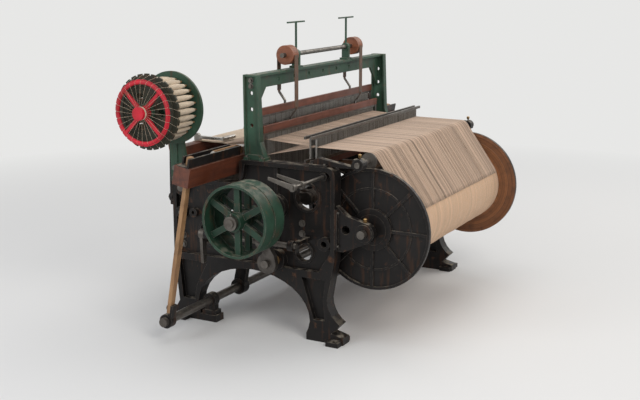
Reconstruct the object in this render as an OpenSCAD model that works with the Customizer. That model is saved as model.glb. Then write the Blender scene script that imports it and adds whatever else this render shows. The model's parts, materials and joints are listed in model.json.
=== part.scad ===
/* [Frame] */
// Clear width between the two cast sides
frame_gap = 1400; // [1300:10:1500]
// Thickness of each cast side over its edge flange
side_thick = 70; // [60:2:80]
// Web left between the pockets of a cast side
web_thick = 16; // [10:1:24]
// Height of the flat top that carries the arch
side_top_z = 880; // [860:5:900]
// Height of the arch rail's top edge
arch_z = 1300; // [1280:5:1340]
// Width of the arch rail, front to back
arch_rail_w = 54; // [44:2:60]
// Height of the breast beam's top
breast_z = 924; // [915:1:930]
// Radius of the floor bolt holes
foot_hole_r = 9; // [7:0.5:12]

/* [Crankshaft] */
// Height of the crankshaft above the floor
crank_z = 660; // [650:1:662]
// Throw of the crank
crank_throw = 50; // [44:1:52]
// Radius of the crankshaft journals
crank_r = 20; // [16:1:24]
// Length of a crank arm between centres
arm_len = 360; // [350:2:370]
// Radius of the belt pulleys
pulley_r = 175; // [150:5:190]
// Face width of each belt pulley
pulley_w = 80; // [60:2:90]
// Radius of the handwheel over its rim
handwheel_r = 215; // [180:5:220]
// Gear module of the crank and cam gears
drive_module = 6; // [4:0.5:7]
// Teeth on the crank gear, half of those on the cam gear
crank_teeth = 30; // [28:2:32]
// Radial running clearance of every shaft in its bearing
run_gap = 0.05; // [0.02:0.01:0.1]

/* [Lay] */
// Lean of the lay at its back position, in degrees
lay_lean = 10.5; // [9:0.5:11]
// Height of the rocker shaft above the floor
rocker_z = 110; // [100:2:120]
// Half length of the lay
lay_half = 1175; // [1150:5:1180]
// Height of the reed between its baulks
reed_h = 112; // [100:2:116]
// Number of gaps in the reed, and of warp threads
thread_count = 118; // [60:2:120]
// Spacing of the reed's wires
thread_pitch = 10.6; // [10:0.1:10.8]
// Length of the shuttle
shuttle_len = 316; // [290:2:320]
// How far a picker stick drives the shuttle
pick_stroke = 130; // [110:2:134]

/* [Harness] */
// Travel of each harness frame
harness_stroke = 84; // [76:1:86]
// Height of a harness frame between its bars
harness_open = 234; // [228:1:238]
// Radius of the harness roll's sheaves
sheave_r = 50; // [40:1:55]

/* [Warp beam] */
// Radius of the beam heads
head_r = 300; // [270:5:310]
// Radius of the wound warp
warp_r = 205; // [120:5:230]
// Height of the warp beam's axis
beam_z = 575; // [565:1:580]
// Distance of the warp beam behind the crankshaft
beam_y = 478; // [474:1:484]
// Radius of the whip roll
whip_r = 42; // [30:1:50]

/* [Take-up] */
// Radius of the take-up roll
take_up_r = 55; // [45:1:60]
// Radius of the cloth on the cloth roll
cloth_r = 72; // [50:1:76]

/* [Bobbin magazine] */
// Number of bobbins in the magazine
bobbin_count = 28; // [20:1:30]
// Radius of the circle that the bobbins sit on
bobbin_ring_r = 148; // [143:1:152]
// Length of a bobbin between the magazine's plates
bobbin_len = 190; // [180:1:196]
// Radius of the yarn on a bobbin
bobbin_r = 15.5; // [12:0.5:16]
// Height of the magazine's axis
magazine_z = 1122; // [1118:1:1140]

/* [Hidden] */
$fn = 48;

cast_black = [0.09, 0.10, 0.09];
cast_green = [0.10, 0.30, 0.16];
steel = [0.45, 0.45, 0.44];
oiled_steel = [0.22, 0.21, 0.19];
lay_wood = [0.50, 0.27, 0.14];
pale_wood = [0.72, 0.52, 0.31];
yarn = [0.86, 0.79, 0.64];
signal_red = [0.72, 0.06, 0.08];
leather = [0.35, 0.20, 0.13];

side_in = frame_gap / 2;
side_out = side_in + side_thick;
side_mid = side_in + side_thick / 2;
seat_gap = 0.3;
beam_len = frame_gap - 116;

cam_teeth = 2 * crank_teeth;
cam_z = crank_z - drive_module * (crank_teeth + cam_teeth) / 2;
cam_r = 20;
arm_x = 498;
arm_w = 36;
web_w = 26;
journal_gap = 1;
wrist_y = crank_throw - arm_len;
wrist_l = (crank_z - rocker_z) / cos(lay_lean);
rocker_y = wrist_y - wrist_l * sin(lay_lean);
rocker_r = 22;
sword_w = 36;
sword_x = arm_x - arm_w / 2 - 7 - sword_w;

fell_y = rocker_y + 30;
warp_z = breast_z + 2;
breast_front = fell_y - 212;
breast_w = 64;
horn_y = breast_front - 22;
harness_t = 14;
harness_front_y = -170;
harness_back_y = -135;
harness_bar = 36;
harness_mid_y = (harness_front_y + harness_back_y) / 2 + harness_t / 2;

whip_y = 445;
whip_z = 903;
thread_w = 5;
thread_lift = 1.8;
race_h = (warp_z - rocker_z + (fell_y - rocker_y) * tan(lay_lean)) * cos(lay_lean) - thread_lift;
thread_t = 1.2;
reed_wire_w = 2;
warp_half = (thread_count - 1) / 2 * thread_pitch;
harness_len = 2 * warp_half + 90;

foot_front_y = -560;
foot_back_y = 340;
foot_h = 36;
foot_w = 110;
foot_x = side_out + 24;
lug_h = 24;

take_up_y = breast_front + 30;
take_up_z = 700;
cloth_t = 1.5;
cloth_roll_z = take_up_z - take_up_r - cloth_t - 2 * seat_gap - cloth_r;

magazine_y = -572;
magazine_x = 815;
plate_r = bobbin_ring_r + 40;
butt_x = magazine_x + bobbin_len;
stud_r = 18;

tight_x = side_out + 210;
loose_x = tight_x + pulley_w + 6;
treadle_pivot = [250, 300];
pick_cam_x = side_out + 74;
pick_x = side_out + 134;
pick_z = cam_z + 123;
pick_r = 14;
pick_bearings = [-308, 170];

gear_face = 32;
gear_x = side_out + 17;
let_off_module = 8;
let_off_teeth = [44, 11];
let_off_angle = 200;
let_off_x = side_in - 28;
take_module = 4;
take_teeth = [60, 12];
pin_r = 9;
take_angle = -60;

// Places that follow from a pair of meshing gears
function gear_gap(module_mm, teeth) = module_mm * (teeth[0] + teeth[1]) / 2;
let_off_pin = [beam_y, beam_z] + gear_gap(let_off_module, let_off_teeth)
    * [cos(let_off_angle), sin(let_off_angle)];
take_pin = [take_up_y, take_up_z] + gear_gap(take_module, take_teeth)
    * [cos(take_angle), sin(take_angle)];

// A point of the lay, given in the lay's own upright frame, in the loom's Y and Z
function lay_point(y, z) = [
    rocker_y + y * cos(lay_lean) + z * sin(lay_lean),
    rocker_z + z * cos(lay_lean) - y * sin(lay_lean)
];
function arc(c, r, a0, a1, n) = [for (i = [0:n]) c + r * [cos(a0 + (a1 - a0) * i / n), sin(a0 + (a1 - a0) * i / n)]];
function thread_x(k) = (k - (thread_count - 1) / 2) * thread_pitch;

// Involute gear outline with stub teeth and a little backlash
function involute(a) = tan(a) * 180 / PI - a;
function gear_points(teeth, m, backlash = 0.5, pressure = 20) =
    let (
        pitch_r = m * teeth / 2,
        base_r = pitch_r * cos(pressure),
        tip_r = pitch_r + 0.7 * m,
        root_r = pitch_r - 0.95 * m,
        low_r = max(base_r, root_r),
        mid_r = (low_r + tip_r) / 2,
        half = 90 / teeth - backlash / (2 * pitch_r) * 180 / PI
    )
    let (
        at = [for (r = [low_r, mid_r, tip_r]) half + involute(pressure) - involute(acos(min(1, base_r / r)))],
        foot = low_r > root_r + 0.01,
        tooth = concat(
            foot ? [[root_r, -at[0]]] : [],
            [[low_r, -at[0]], [mid_r, -at[1]], [tip_r, -at[2]], [tip_r, at[2]], [mid_r, at[1]], [low_r, at[0]]],
            foot ? [[root_r, at[0]]] : []
        )
    )
    [for (t = [0:teeth - 1], p = tooth) p[0] * [cos(p[1] + 360 * t / teeth), sin(p[1] + 360 * t / teeth)]];

// Extrudes a Y-Z profile along X from x0 to x1
module along_x(x0, x1) {
    translate([x0, 0, 0]) rotate([90, 0, 90]) linear_extrude(x1 - x0) children();
}

// A round bar along X at a place in Y and Z
module bar_x(x0, x1, r, at = [0, 0], fn = 48) {
    translate([x0, at[0], at[1]]) rotate([0, 90, 0]) cylinder(h = x1 - x0, r = r, $fn = fn);
}

module bar_y(x, z, y0, y1, r) {
    translate([x, y1, z]) rotate([90, 0, 0]) cylinder(h = y1 - y0, r = r);
}

module ring_x(x0, x1, r_out, r_in, at = [0, 0]) {
    along_x(x0, x1) translate(at) difference() {
        circle(r_out);
        circle(r_in);
    }
}

// The same piece on the right, and mirrored on the left
module both_sides() {
    children();
    mirror([1, 0, 0]) children();
}

module on_lay() {
    translate([0, rocker_y, rocker_z]) rotate([-lay_lean, 0, 0]) children();
}

module block(x, y, z) {
    translate([x[0], y[0], z[0]]) cube([x[1] - x[0], y[1] - y[0], z[1] - z[0]]);
}

module gear_2d(teeth, m, bore_r, turn = 0) {
    difference() {
        rotate(turn) polygon(gear_points(teeth, m));
        circle(bore_r);
    }
}

// Outline of a cast side, seen from its end: two feet, an arch between the legs,
// a dip that the lay passes through, and a horn for the breast beam
dip_z = breast_z - 168;
dip_back = harness_front_y - 34;
side_back = 330;
arch_foot = [rocker_y - 58, 195];
arch_crown = 320;
module side_outline() {
    arch_mid = (arch_foot[0] + arch_foot[1]) / 2;
    arch_half = (arch_foot[1] - arch_foot[0]) / 2;
    polygon(concat(
        [[horn_y - 8, 0], [rocker_y + 50, 0], [rocker_y + 50, foot_h], [rocker_y - 46, foot_h], [rocker_y - 50, foot_h + 26]],
        [for (i = [0:16]) let (a = 180 - i * 180 / 16)
            [arch_mid + arch_half * cos(a), foot_h + 64 + (arch_crown - foot_h - 64) * sin(a)]],
        [[arch_foot[1] - 8, foot_h + 26], [arch_foot[1] - 20, foot_h], [arch_foot[1] - 20, 0]],
        [[foot_back_y + 40, 0], [foot_back_y + 40, foot_h], [foot_back_y - 26, foot_h + 16]],
        arc([foot_back_y + 92, foot_h + 186], 140, 240, 180, 5),
        arc([side_back - 60, 430], 60, -20, 0, 3),
        arc([side_back - 40, side_top_z - 40], 40, 0, 90, 5),
        arc([dip_back + 20, side_top_z - 20], 20, 90, 180, 4),
        [[dip_back, dip_z + 30]],
        arc([dip_back - 30, dip_z + 30], 30, 0, -90, 4),
        [[horn_y + 150, dip_z]],
        arc([horn_y + 150, dip_z + 40], 40, -90, -180, 4),
        [[horn_y + 110, breast_z - 94], [horn_y, breast_z - 94]],
        [[horn_y, 330], [horn_y + 26, 90], [horn_y - 8, foot_h]]
    ));
}

// Panels that are sunk into both faces of a cast side
module side_pockets() {
    rim = 22;
    polygon(concat(
        [[horn_y + rim, arch_crown + rim + 14], [foot_back_y - 96, arch_crown + rim + 14]],
        [[side_back - rim - 40, 400], [side_back - rim, 460]],
        [[side_back - rim, side_top_z - rim - 20], [side_back - rim - 20, side_top_z - rim]],
        [[dip_back + rim + 8, side_top_z - rim], [dip_back + rim, dip_z + 40]],
        [[dip_back - 14, dip_z - rim], [horn_y + 150, dip_z - rim]],
        [[horn_y + 88, dip_z], [horn_y + 88, breast_z - 94 - rim], [horn_y + rim, breast_z - 94 - rim]]
    ));
    polygon([[horn_y + 28, 320], [horn_y + 50, 110], [arch_foot[0] - 22, 110], [arch_foot[0] - 8, 190],
        [arch_foot[0] + 60, 320]]);
    polygon([[arch_foot[1] + 22, 110], [foot_back_y - 62, 110], [foot_back_y - 72, 220], [foot_back_y - 60, 320],
        [arch_foot[1] - 46, 320]]);
}

// Round windows through the web: place in Y, place in Z, radius
side_windows = [[-400, 480, 60], [-230, 570, 66], [150, 440, 44], [170, 720, 62]];
side_bosses = [[0, crank_z, 62], [0, cam_z, 54]];

module side_frame() {
    color(cast_black) difference() {
        union() {
            difference() {
                along_x(side_in, side_out) side_outline();
                along_x(side_in - 1, side_mid - web_thick / 2) side_pockets();
                along_x(side_mid + web_thick / 2, side_out + 1) side_pockets();
                for (w = side_windows) bar_x(side_in - 1, side_out + 1, w[2], [w[0], w[1]]);
            }
            for (w = side_windows)
                ring_x(side_mid - web_thick / 2 - 10, side_mid + web_thick / 2 + 10, w[2] + 12, w[2], [w[0], w[1]]);
            for (b = side_bosses) bar_x(side_in - 8, side_out + 8, b[2], [b[0], b[1]]);
            block([side_in + 12, side_out - 12], [-9, 9], [cam_z, side_top_z - 10]);
            block([side_in + 12, side_out - 12], [-9, 9], [arch_crown + 10, cam_z]);
            bar_x(side_in, side_out, 38, [take_up_y, take_up_z]);
            bar_x(side_in, side_out, 33, [take_up_y, cloth_roll_z]);
            bar_x(side_in, side_out, 34, let_off_pin);
            bar_x(side_in, side_mid, 22, treadle_pivot);
            bar_x(side_in, side_out, 20, fork_at);
            bar_x(side_in, side_out, 24, take_pin);
            for (g = [front_girt_at, back_girt_at])
                block([side_in, side_mid], [g[0] - 34, g[0] + 34], [g[1] - 50, g[1] + 50]);
            for (y = [foot_front_y, foot_back_y])
                block([side_mid - foot_w / 2, foot_x + 22], [y - 34, y + 34], [0, lug_h]);
        }
        for (b = side_bosses) bar_x(side_in - 9, side_out + 9, crank_r + 8, [b[0], b[1]]);
        bar_x(side_in - 1, side_out + 1, stud_r + run_gap, [take_up_y, take_up_z]);
        bar_x(side_in - 1, side_out + 1, 12 + run_gap, [take_up_y, cloth_roll_z]);
        bar_x(side_in - 1, side_out + 1, 16 + run_gap, let_off_pin);
        bar_x(side_in - 1, side_out + 1, fork_r + run_gap, fork_at);
        bar_x(side_in - 1, side_out + 1, pin_r + run_gap, take_pin);
        for (y = [foot_front_y, foot_back_y]) {
            translate([foot_x, y, -1]) cylinder(h = foot_h, r = foot_hole_r);
            translate([foot_x, y, lug_h - 2]) cylinder(h = 20, r = foot_hole_r + 7);
        }
    }
}

module side_frame_right() side_frame();
module side_frame_left() mirror([1, 0, 0]) side_frame();

// Flat green posts, wider at the foot, with a flange down each edge
post_y = harness_mid_y;
post_bolts = [post_y - 20, post_y + 70];
module post_outline(inset = 0) {
    polygon([
        [post_y - 34 + inset, side_top_z + inset], [post_y + 84 - inset, side_top_z + inset],
        [post_y + 54 - inset, side_top_z + 90], [post_y + 40 - inset, arch_z - inset],
        [post_y - 40 + inset, arch_z - inset], [post_y - 38 + inset, side_top_z + 90]
    ]);
}
module arch_posts() {
    color(cast_green) both_sides() {
        difference() {
            along_x(side_mid - 18, side_mid + 18) post_outline();
            along_x(side_mid + 6, side_mid + 19) difference() {
                post_outline(9);
                translate([post_y - 60, side_top_z]) square([160, 26]);
            }
            along_x(side_mid - 19, side_mid - 6) post_outline(9);
            for (z = [arch_z - 90, arch_z - 170, arch_z - 250]) bar_x(side_mid - 19, side_mid + 19, 10, [post_y, z], 24);
        }
        for (y = post_bolts) block([side_mid - 34, side_mid + 34], [y - 13, y + 13], [side_top_z, side_top_z + 14]);
    }
}

module arch_rail() {
    rail_end = side_mid - 18;
    color(cast_green) {
        block([-rail_end, rail_end], [post_y - arch_rail_w / 2, post_y + arch_rail_w / 2], [arch_z - 12, arch_z]);
        difference() {
            block([-rail_end, rail_end], [post_y - 6, post_y + 6], [arch_z - 72, arch_z - 12]);
            for (x = [-480:160:480]) translate([x, post_y + 7, arch_z - 42]) rotate([90, 0, 0]) cylinder(h = 14, r = 11);
        }
        both_sides() translate([0, post_y + 6, 0]) rotate([90, 0, 0]) linear_extrude(12)
            polygon([[rail_end, arch_z - 72], [rail_end, arch_z - 190], [rail_end - 24, arch_z - 170], [rail_end - 110, arch_z - 72]]);
    }
}

// Stands on the arch that carry the harness roll, each with an upright rod and cross-arm
roll_z = arch_z + 72;
stand_x = [-290, 290];
module roll_stands() {
    color(cast_green) for (x = stand_x) {
        difference() {
            union() {
                block([x - 8, x + 8], [post_y - 22, post_y + 22], [arch_z, roll_z]);
                bar_x(x - 12, x + 12, 22, [post_y, roll_z]);
                block([x - 30, x + 30], [post_y - 24, post_y + 24], [arch_z, arch_z + 10]);
            }
            bar_x(x - 13, x + 13, 12 + run_gap, [post_y, roll_z]);
        }
        translate([x, post_y, roll_z + 18]) cylinder(h = 150, r = 6);
        block([x - 90, x + 90], [post_y - 4, post_y + 4], [roll_z + 160, roll_z + 168]);
    }
}

module breast_beam() {
    edge = 26;
    color(lay_wood) along_x(-side_out, side_out) polygon(concat(
        [[breast_front, breast_z - 94], [breast_front + breast_w, breast_z - 94], [breast_front + breast_w, breast_z - 6],
            [breast_front + breast_w - 8, breast_z]],
        arc([breast_front + edge, breast_z - edge], edge, 90, 180, 6)
    ));
}

module girt_2d(y, z, w, h) {
    translate([y, z]) difference() {
        square([w, h], center = true);
        for (s = [-1, 1]) translate([s * (w / 4 + 4), 0]) square([w / 2 - 8, h - 26], center = true);
    }
}
front_girt_at = [horn_y + 46, 420];
back_girt_at = [140, 560];
module cross_girts() {
    color(cast_black) along_x(-side_in, side_in) girt_2d(front_girt_at[0], front_girt_at[1], 62, 86);
    color(cast_black) along_x(-side_in, side_in) girt_2d(back_girt_at[0], back_girt_at[1], 62, 96);
    color(oiled_steel) bar_x(-side_in, side_in, 10, treadle_pivot);
}

// Brackets behind the sides, each with a bearing for the beam's gudgeon
stand_w = 34;
module beam_stands() {
    color(cast_black) both_sides() difference() {
        union() {
            along_x(side_mid - stand_w / 2, side_mid + stand_w / 2) polygon(concat(
                [[side_back, beam_z - 105], [side_back + 40, beam_z - 105]],
                arc([beam_y, beam_z], 52, -80, 60, 8),
                [[side_back + 60, beam_z + 74], [side_back, beam_z + 120]]
            ));
            bar_x(side_mid - stand_w / 2 - 6, side_mid + stand_w / 2 + 6, 44, [beam_y, beam_z]);
            block([side_mid - 34, side_mid + 34], [side_back, side_back + 12], [beam_z - 95, beam_z + 105]);
        }
        bar_x(side_in - 1, side_out + 1, 20 + run_gap, [beam_y, beam_z]);
        bar_x(side_in - 1, side_out + 1, 22, [side_back + 52, beam_z + 6]);
    }
}

module whip_brackets() {
    color(cast_black) both_sides() difference() {
        union() {
            along_x(side_mid - 20, side_mid + 14) polygon([
                [190, side_top_z], [290, side_top_z], [whip_y + 26, whip_z - 18], [whip_y + 26, whip_z + 14],
                [whip_y - 26, whip_z + 26], [whip_y - 40, whip_z - 10], [230, side_top_z + 40], [190, side_top_z + 20]
            ]);
            bar_x(side_mid - 28, side_mid + 20, 28, [whip_y, whip_z]);
            block([side_mid - 35, side_mid + 35], [190, 286], [side_top_z, side_top_z + 9]);
        }
        bar_x(side_in - 1, side_out + 1, 14 + run_gap, [whip_y, whip_z]);
    }
}

module shaft_bushes() {
    color([0.55, 0.45, 0.25]) both_sides() for (z = [crank_z, cam_z])
        ring_x(side_in - 10, side_out + 10, crank_r + 8, crank_r + run_gap, [0, z]);
}

// Blocks on the feet for the rocker shaft, and brackets on the sides for the pick shafts
module bearing_blocks() {
    color(cast_black) both_sides() difference() {
        union() {
            block([side_mid - 28, side_mid + 28], [rocker_y - 40, rocker_y + 40], [foot_h, foot_h + 22]);
            block([side_mid - 20, side_mid + 20], [rocker_y - 30, rocker_y + 30], [foot_h + 22, rocker_z]);
            bar_x(side_mid - 20, side_mid + 20, 38, [rocker_y, rocker_z]);
        }
        bar_x(side_in - 1, side_out + 1, rocker_r + run_gap, [rocker_y, rocker_z]);
    }
    color(cast_black) both_sides() for (y = pick_bearings) difference() {
        union() {
            block([side_mid + web_thick / 2, pick_x], [y - 12, y + 12], [pick_z - 9, pick_z + 9]);
            block([side_mid + web_thick / 2, side_out + 4], [y - 14, y + 14], [pick_z - 9, pick_z + 9]);
            bar_y(pick_x, pick_z, y - 14, y + 14, 26);
        }
        bar_y(pick_x, pick_z, y - 15, y + 15, pick_r + run_gap);
    }
}

module hex_bolt(x, y, z, r = 13) {
    translate([x, y, z]) rotate([0, 90, 0]) {
        cylinder(h = 3, r = r + 5, $fn = 24);
        translate([0, 0, 3]) cylinder(h = 11, r = r, $fn = 6);
    }
}
module frame_bolts() {
    color(oiled_steel) both_sides() {
        for (at = [[front_girt_at[0], front_girt_at[1] - 24], [front_girt_at[0], front_girt_at[1] + 24]])
            hex_bolt(side_mid + web_thick / 2, at[0], at[1]);
        for (z = [back_girt_at[1] - 26, back_girt_at[1] + 26]) hex_bolt(side_mid + web_thick / 2, back_girt_at[0], z);
        for (y = post_bolts, s = [-1, 1])
            translate([side_mid + s * 26, y, side_top_z + 14]) cylinder(h = 8, r = 7, $fn = 6);
        for (y = [204, 272], s = [-1, 1])
            translate([side_mid + s * 28, y, side_top_z + 9]) cylinder(h = 7, r = 6.5, $fn = 6);
        for (z = [beam_z - 78, beam_z + 88], s = [-1, 1])
            translate([side_mid + s * 25, side_back + 12, z]) rotate([-90, 0, 0]) cylinder(h = 8, r = 7, $fn = 6);
        for (z = [arch_z - 28, arch_z - 56]) hex_bolt(side_mid + 6, post_y, z, 9);
    }
    color(oiled_steel) for (z = stand_bolts) hex_bolt(side_out + 16, horn_y + 32, z, 11);
    color(oiled_steel) translate([handle_pivot[0], horn_y, handle_pivot[2]]) rotate([90, 0, 0]) {
        cylinder(h = 13.7, r = 18);
        cylinder(h = 42, r = 10);
        translate([0, 0, 34.6]) cylinder(h = 10, r = 17, $fn = 6);
    }
}

// The warp: threads from the beam over the whip roll, through the shed that the two harness
// frames hold open, to the fell, where the comb of threads runs into a strip of cloth
whip_lift = whip_r + seat_gap + thread_t / 2;
beam_lift = warp_r + seat_gap + thread_t / 2;
whip_from_beam = [whip_y - beam_y, whip_z - beam_z];
off_angle = atan2(whip_from_beam[1], whip_from_beam[0]) - acos((beam_lift - whip_lift) / norm(whip_from_beam));
leave_beam = [beam_y, beam_z] + beam_lift * [cos(off_angle), sin(off_angle)];
drop_y = 150;
drop_z = warp_z + 22;
harness_up_z = warp_z + harness_stroke / 2 - 2;
harness_down_z = warp_z - (harness_mid_y - fell_y) * tan(lay_lean);
function thread_path(up) = concat(
    [leave_beam],
    arc([whip_y, whip_z], whip_lift, off_angle, 93, 5),
    [[drop_y, drop_z]],
    [[harness_mid_y, up ? harness_up_z : harness_down_z]],
    [[fell_y + 4, warp_z], [fell_y - 20, warp_z]]
);
function unit(v) = v / norm(v);
function left_of(v) = [-v[1], v[0]];
function path_normal(p, i) = let (
        a = i > 0 ? unit(p[i] - p[i - 1]) : unit(p[1] - p[0]),
        b = i < len(p) - 1 ? unit(p[i + 1] - p[i]) : a,
        n = unit(left_of(a) + left_of(b))
    ) n / (n * left_of(a));
function ribbon(p, t) = concat(
    [for (i = [0:len(p) - 1]) p[i] + path_normal(p, i) * t / 2],
    [for (i = [len(p) - 1:-1:0]) p[i] - path_normal(p, i) * t / 2]
);
module warp_threads() {
    color(yarn) {
        for (k = [0:thread_count - 1])
            along_x(thread_x(k) - thread_w / 2, thread_x(k) + thread_w / 2)
                polygon(ribbon(thread_path(k % 2 == 0), thread_t));
        block([-warp_half - thread_w, warp_half + thread_w], [fell_y - 40, fell_y - 12],
            [warp_z - thread_t / 2, warp_z + thread_t / 2]);
    }
}

// The cloth from the fell over the breast beam, round the take-up roll and down to the cloth roll
module cloth_web() {
    roll_lift = take_up_r + seat_gap + cloth_t / 2;
    nose = [breast_front + 26, breast_z - 26];
    nose_lift = warp_z - nose[1];
    fall = [take_up_y, take_up_z] - nose;
    down = 360 + atan2(fall[1], fall[0]) - acos((nose_lift - roll_lift) / norm(fall));
    path = concat(
        [[fell_y - 40, warp_z], [nose[0] + 10, warp_z]],
        arc(nose, nose_lift, 90, down, 6),
        arc([take_up_y, take_up_z], roll_lift, down, 268, 24)
    );
    color(yarn) along_x(-warp_half - thread_w, warp_half + thread_w) polygon(ribbon(path, cloth_t));
}

module temples() {
    roller_y = fell_y - 26;
    roller_z = warp_z + 17;
    arm_x = warp_half - 24;
    color(steel) both_sides() {
        bar_x(arm_x - 100, arm_x + 4, 11, [roller_y, roller_z]);
        block([arm_x, arm_x + 22], [breast_front + 16, roller_y + 10], [roller_z - 6, roller_z + 8]);
        block([arm_x, arm_x + 22], [breast_front + 16, breast_front + 50], [warp_z + cloth_t / 2 + seat_gap, roller_z + 8]);
        bar_x(arm_x + 2, arm_x + 20, 14, [breast_front + 32, roller_z + 8]);
    }
}

// A row of flat wires between two bars, used for the reed, the heddles and the drop wires
module wire_row(count, pitch, wire, depth, low, high, bar_depth, bar_h, half, shift = 0) {
    for (s = [[low - bar_h, low], [high, high + bar_h]])
        block([-half, half], [-bar_depth / 2, bar_depth / 2], s);
    for (k = [0:count - 1]) let (x = shift + (k - (count - 1) / 2) * pitch)
        block([x - wire / 2, x + wire / 2], [-depth / 2, depth / 2], [low - 1, high + 1]);
}

module drop_wires() {
    color(steel) for (row = [0, 1])
        translate([0, drop_y - 30 + row * 34, 0])
            wire_row(floor(thread_count / 2), 2 * thread_pitch, 1.6, 8, drop_z - 60, drop_z + 44, 10, 14, side_in - 20,
                row * thread_pitch);
    color(steel) both_sides() block([side_in - 30, side_in], [drop_y - 50, drop_y + 30], [drop_z - 96, drop_z - 74]);
}

stand_bolts = [breast_z - 168, breast_z - 118];
module magazine_stand() {
    color(cast_green) difference() {
        union() {
            along_x(side_out, side_out + 16) polygon([
                [horn_y + 8, breast_z - 190], [horn_y + 98, breast_z - 190], [horn_y + 104, breast_z - 90],
                [magazine_y + 38, breast_z + 66], [magazine_y + 32, magazine_z], [magazine_y - 32, magazine_z],
                [magazine_y - 46, breast_z + 66], [horn_y + 4, breast_z - 60]
            ]);
            along_x(side_out, side_out + 22) polygon([
                [magazine_y - 7, breast_z - 90], [magazine_y + 7, breast_z - 90],
                [magazine_y + 7, magazine_z], [magazine_y - 7, magazine_z]
            ]);
            bar_x(side_out - 6, side_out + 24, 36, [magazine_y, magazine_z]);
            bar_x(side_out + 16, butt_x + 78, stud_r, [magazine_y, magazine_z]);
        }
        for (z = stand_bolts) bar_x(side_out - 1, side_out + 17, 8, [horn_y + 32, z], 24);
    }
}

// The crankshaft is one forging with two throws
module throw_web(x0, x1) {
    along_x(x0, x1) {
        circle(34);
        translate([crank_throw, 0]) circle(32);
        translate([0, -28]) square([crank_throw, 56]);
    }
}
shaft_left = side_out + 296;
shaft_right = loose_x + pulley_w + 38;
module crankshaft() {
    pin_half = arm_w / 2 + journal_gap;
    color(oiled_steel) translate([0, 0, crank_z]) {
        bar_x(-shaft_left, -arm_x - pin_half, crank_r);
        bar_x(-arm_x + pin_half, arm_x - pin_half, crank_r);
        bar_x(arm_x + pin_half, shaft_right, crank_r);
        for (s = [-1, 1]) {
            bar_x(s * arm_x - pin_half, s * arm_x + pin_half, 22, [crank_throw, 0]);
            for (t = [-1, 1]) {
                edge = s * arm_x + t * pin_half;
                throw_web(min(edge, edge + t * web_w), max(edge, edge + t * web_w));
            }
        }
    }
}

module spoked_wheel(x0, x1, r_out, rim, hub_r, bore_r, spokes, spoke_w, hub_x0, hub_x1, turn = 0) {
    mid = (x0 + x1) / 2;
    difference() {
        union() {
            ring_x(x0, x1, r_out, r_out - rim);
            bar_x(hub_x0, hub_x1, hub_r);
            for (i = [0:spokes - 1]) rotate([turn + i * 360 / spokes, 0, 0])
                block([mid - spoke_w / 3, mid + spoke_w / 3], [-spoke_w / 2, spoke_w / 2], [hub_r - 6, r_out - rim / 2]);
        }
        bar_x(hub_x0 - 1, hub_x1 + 1, bore_r);
    }
}
module tight_pulley() {
    color(cast_green) translate([0, 0, crank_z])
        spoked_wheel(tight_x, tight_x + pulley_w, pulley_r, 12, 44, crank_r, 6, 30, tight_x - 24, tight_x + pulley_w);
}
module loose_pulley() {
    color(cast_green) translate([0, 0, crank_z])
        spoked_wheel(loose_x, loose_x + pulley_w, pulley_r, 12, 44, crank_r + run_gap, 6, 30, loose_x - 5, loose_x + pulley_w + 10);
}
module pulley_collar() {
    color(oiled_steel) translate([0, 0, crank_z]) difference() {
        bar_x(loose_x + pulley_w + 10.5, loose_x + pulley_w + 32, 34);
        bar_x(loose_x + pulley_w, loose_x + pulley_w + 40, crank_r);
        translate([loose_x + pulley_w + 21, 0, 26]) cylinder(h = 20, r = 5);
    }
}
wheel_x = side_out + 232;
module handwheel() {
    color(cast_black) translate([0, 0, crank_z]) mirror([1, 0, 0]) {
        difference() {
            union() {
                rotate([0, 90, 0]) rotate_extrude() translate([handwheel_r - 14, wheel_x + 20]) circle(14, $fn = 24);
                bar_x(wheel_x - 8, wheel_x + 50, 40);
                for (i = [0:4]) rotate([i * 72, 0, 0]) block([wheel_x + 11, wheel_x + 29], [-15, 15], [34, handwheel_r - 20]);
            }
            bar_x(wheel_x - 9, wheel_x + 51, crank_r);
        }
    }
}

module crank_gear() {
    color(oiled_steel) translate([0, 0, crank_z]) mirror([1, 0, 0]) difference() {
        union() {
            along_x(gear_x, gear_x + gear_face) gear_2d(crank_teeth, drive_module, crank_r, 180 / crank_teeth - 90);
            ring_x(gear_x + gear_face, gear_x + gear_face + 14, 38, crank_r);
        }
    }
}
module cam_gear() {
    color(oiled_steel) translate([0, 0, cam_z]) mirror([1, 0, 0]) {
        along_x(gear_x, gear_x + gear_face) difference() {
            gear_2d(cam_teeth, drive_module, cam_r, 90);
            for (i = [0:4]) rotate(i * 72 + 18) translate([102, 0]) circle(38);
        }
        ring_x(gear_x + gear_face, gear_x + gear_face + 10, 44, cam_r);
    }
}

// Crank arm: a wooden body between two iron straps, with the wrist pin in its front eye
module crank_arm() {
    x0 = arm_x - arm_w / 2;
    x1 = arm_x + arm_w / 2;
    color(pale_wood) difference() {
        union() {
            along_x(x0 + 2, x1 - 2) polygon([
                [wrist_y + 24, crank_z - 13], [crank_throw - 32, crank_z - 18], [crank_throw - 32, crank_z + 18], [wrist_y + 24, crank_z + 13]
            ]);
            for (z = [-18, 12]) along_x(x0, x1) translate([crank_throw - 130, crank_z + z]) square([104, 6]);
            for (y = [-98, -120]) along_x(x0 - 3, x1 + 3) translate([crank_throw + y, crank_z]) circle(6, $fn = 24);
            bar_x(x0, x1, 36, [crank_throw, crank_z]);
            bar_x(x0, x1, 25, [wrist_y, crank_z]);
            bar_x(x0 - 6.5, x1 + 8, 14, [wrist_y, crank_z]);
        }
        bar_x(x0 - 1, x1 + 1, 22 + run_gap, [crank_throw, crank_z]);
    }
}
module crank_arm_right() crank_arm();
module crank_arm_left() mirror([1, 0, 0]) crank_arm();

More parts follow.
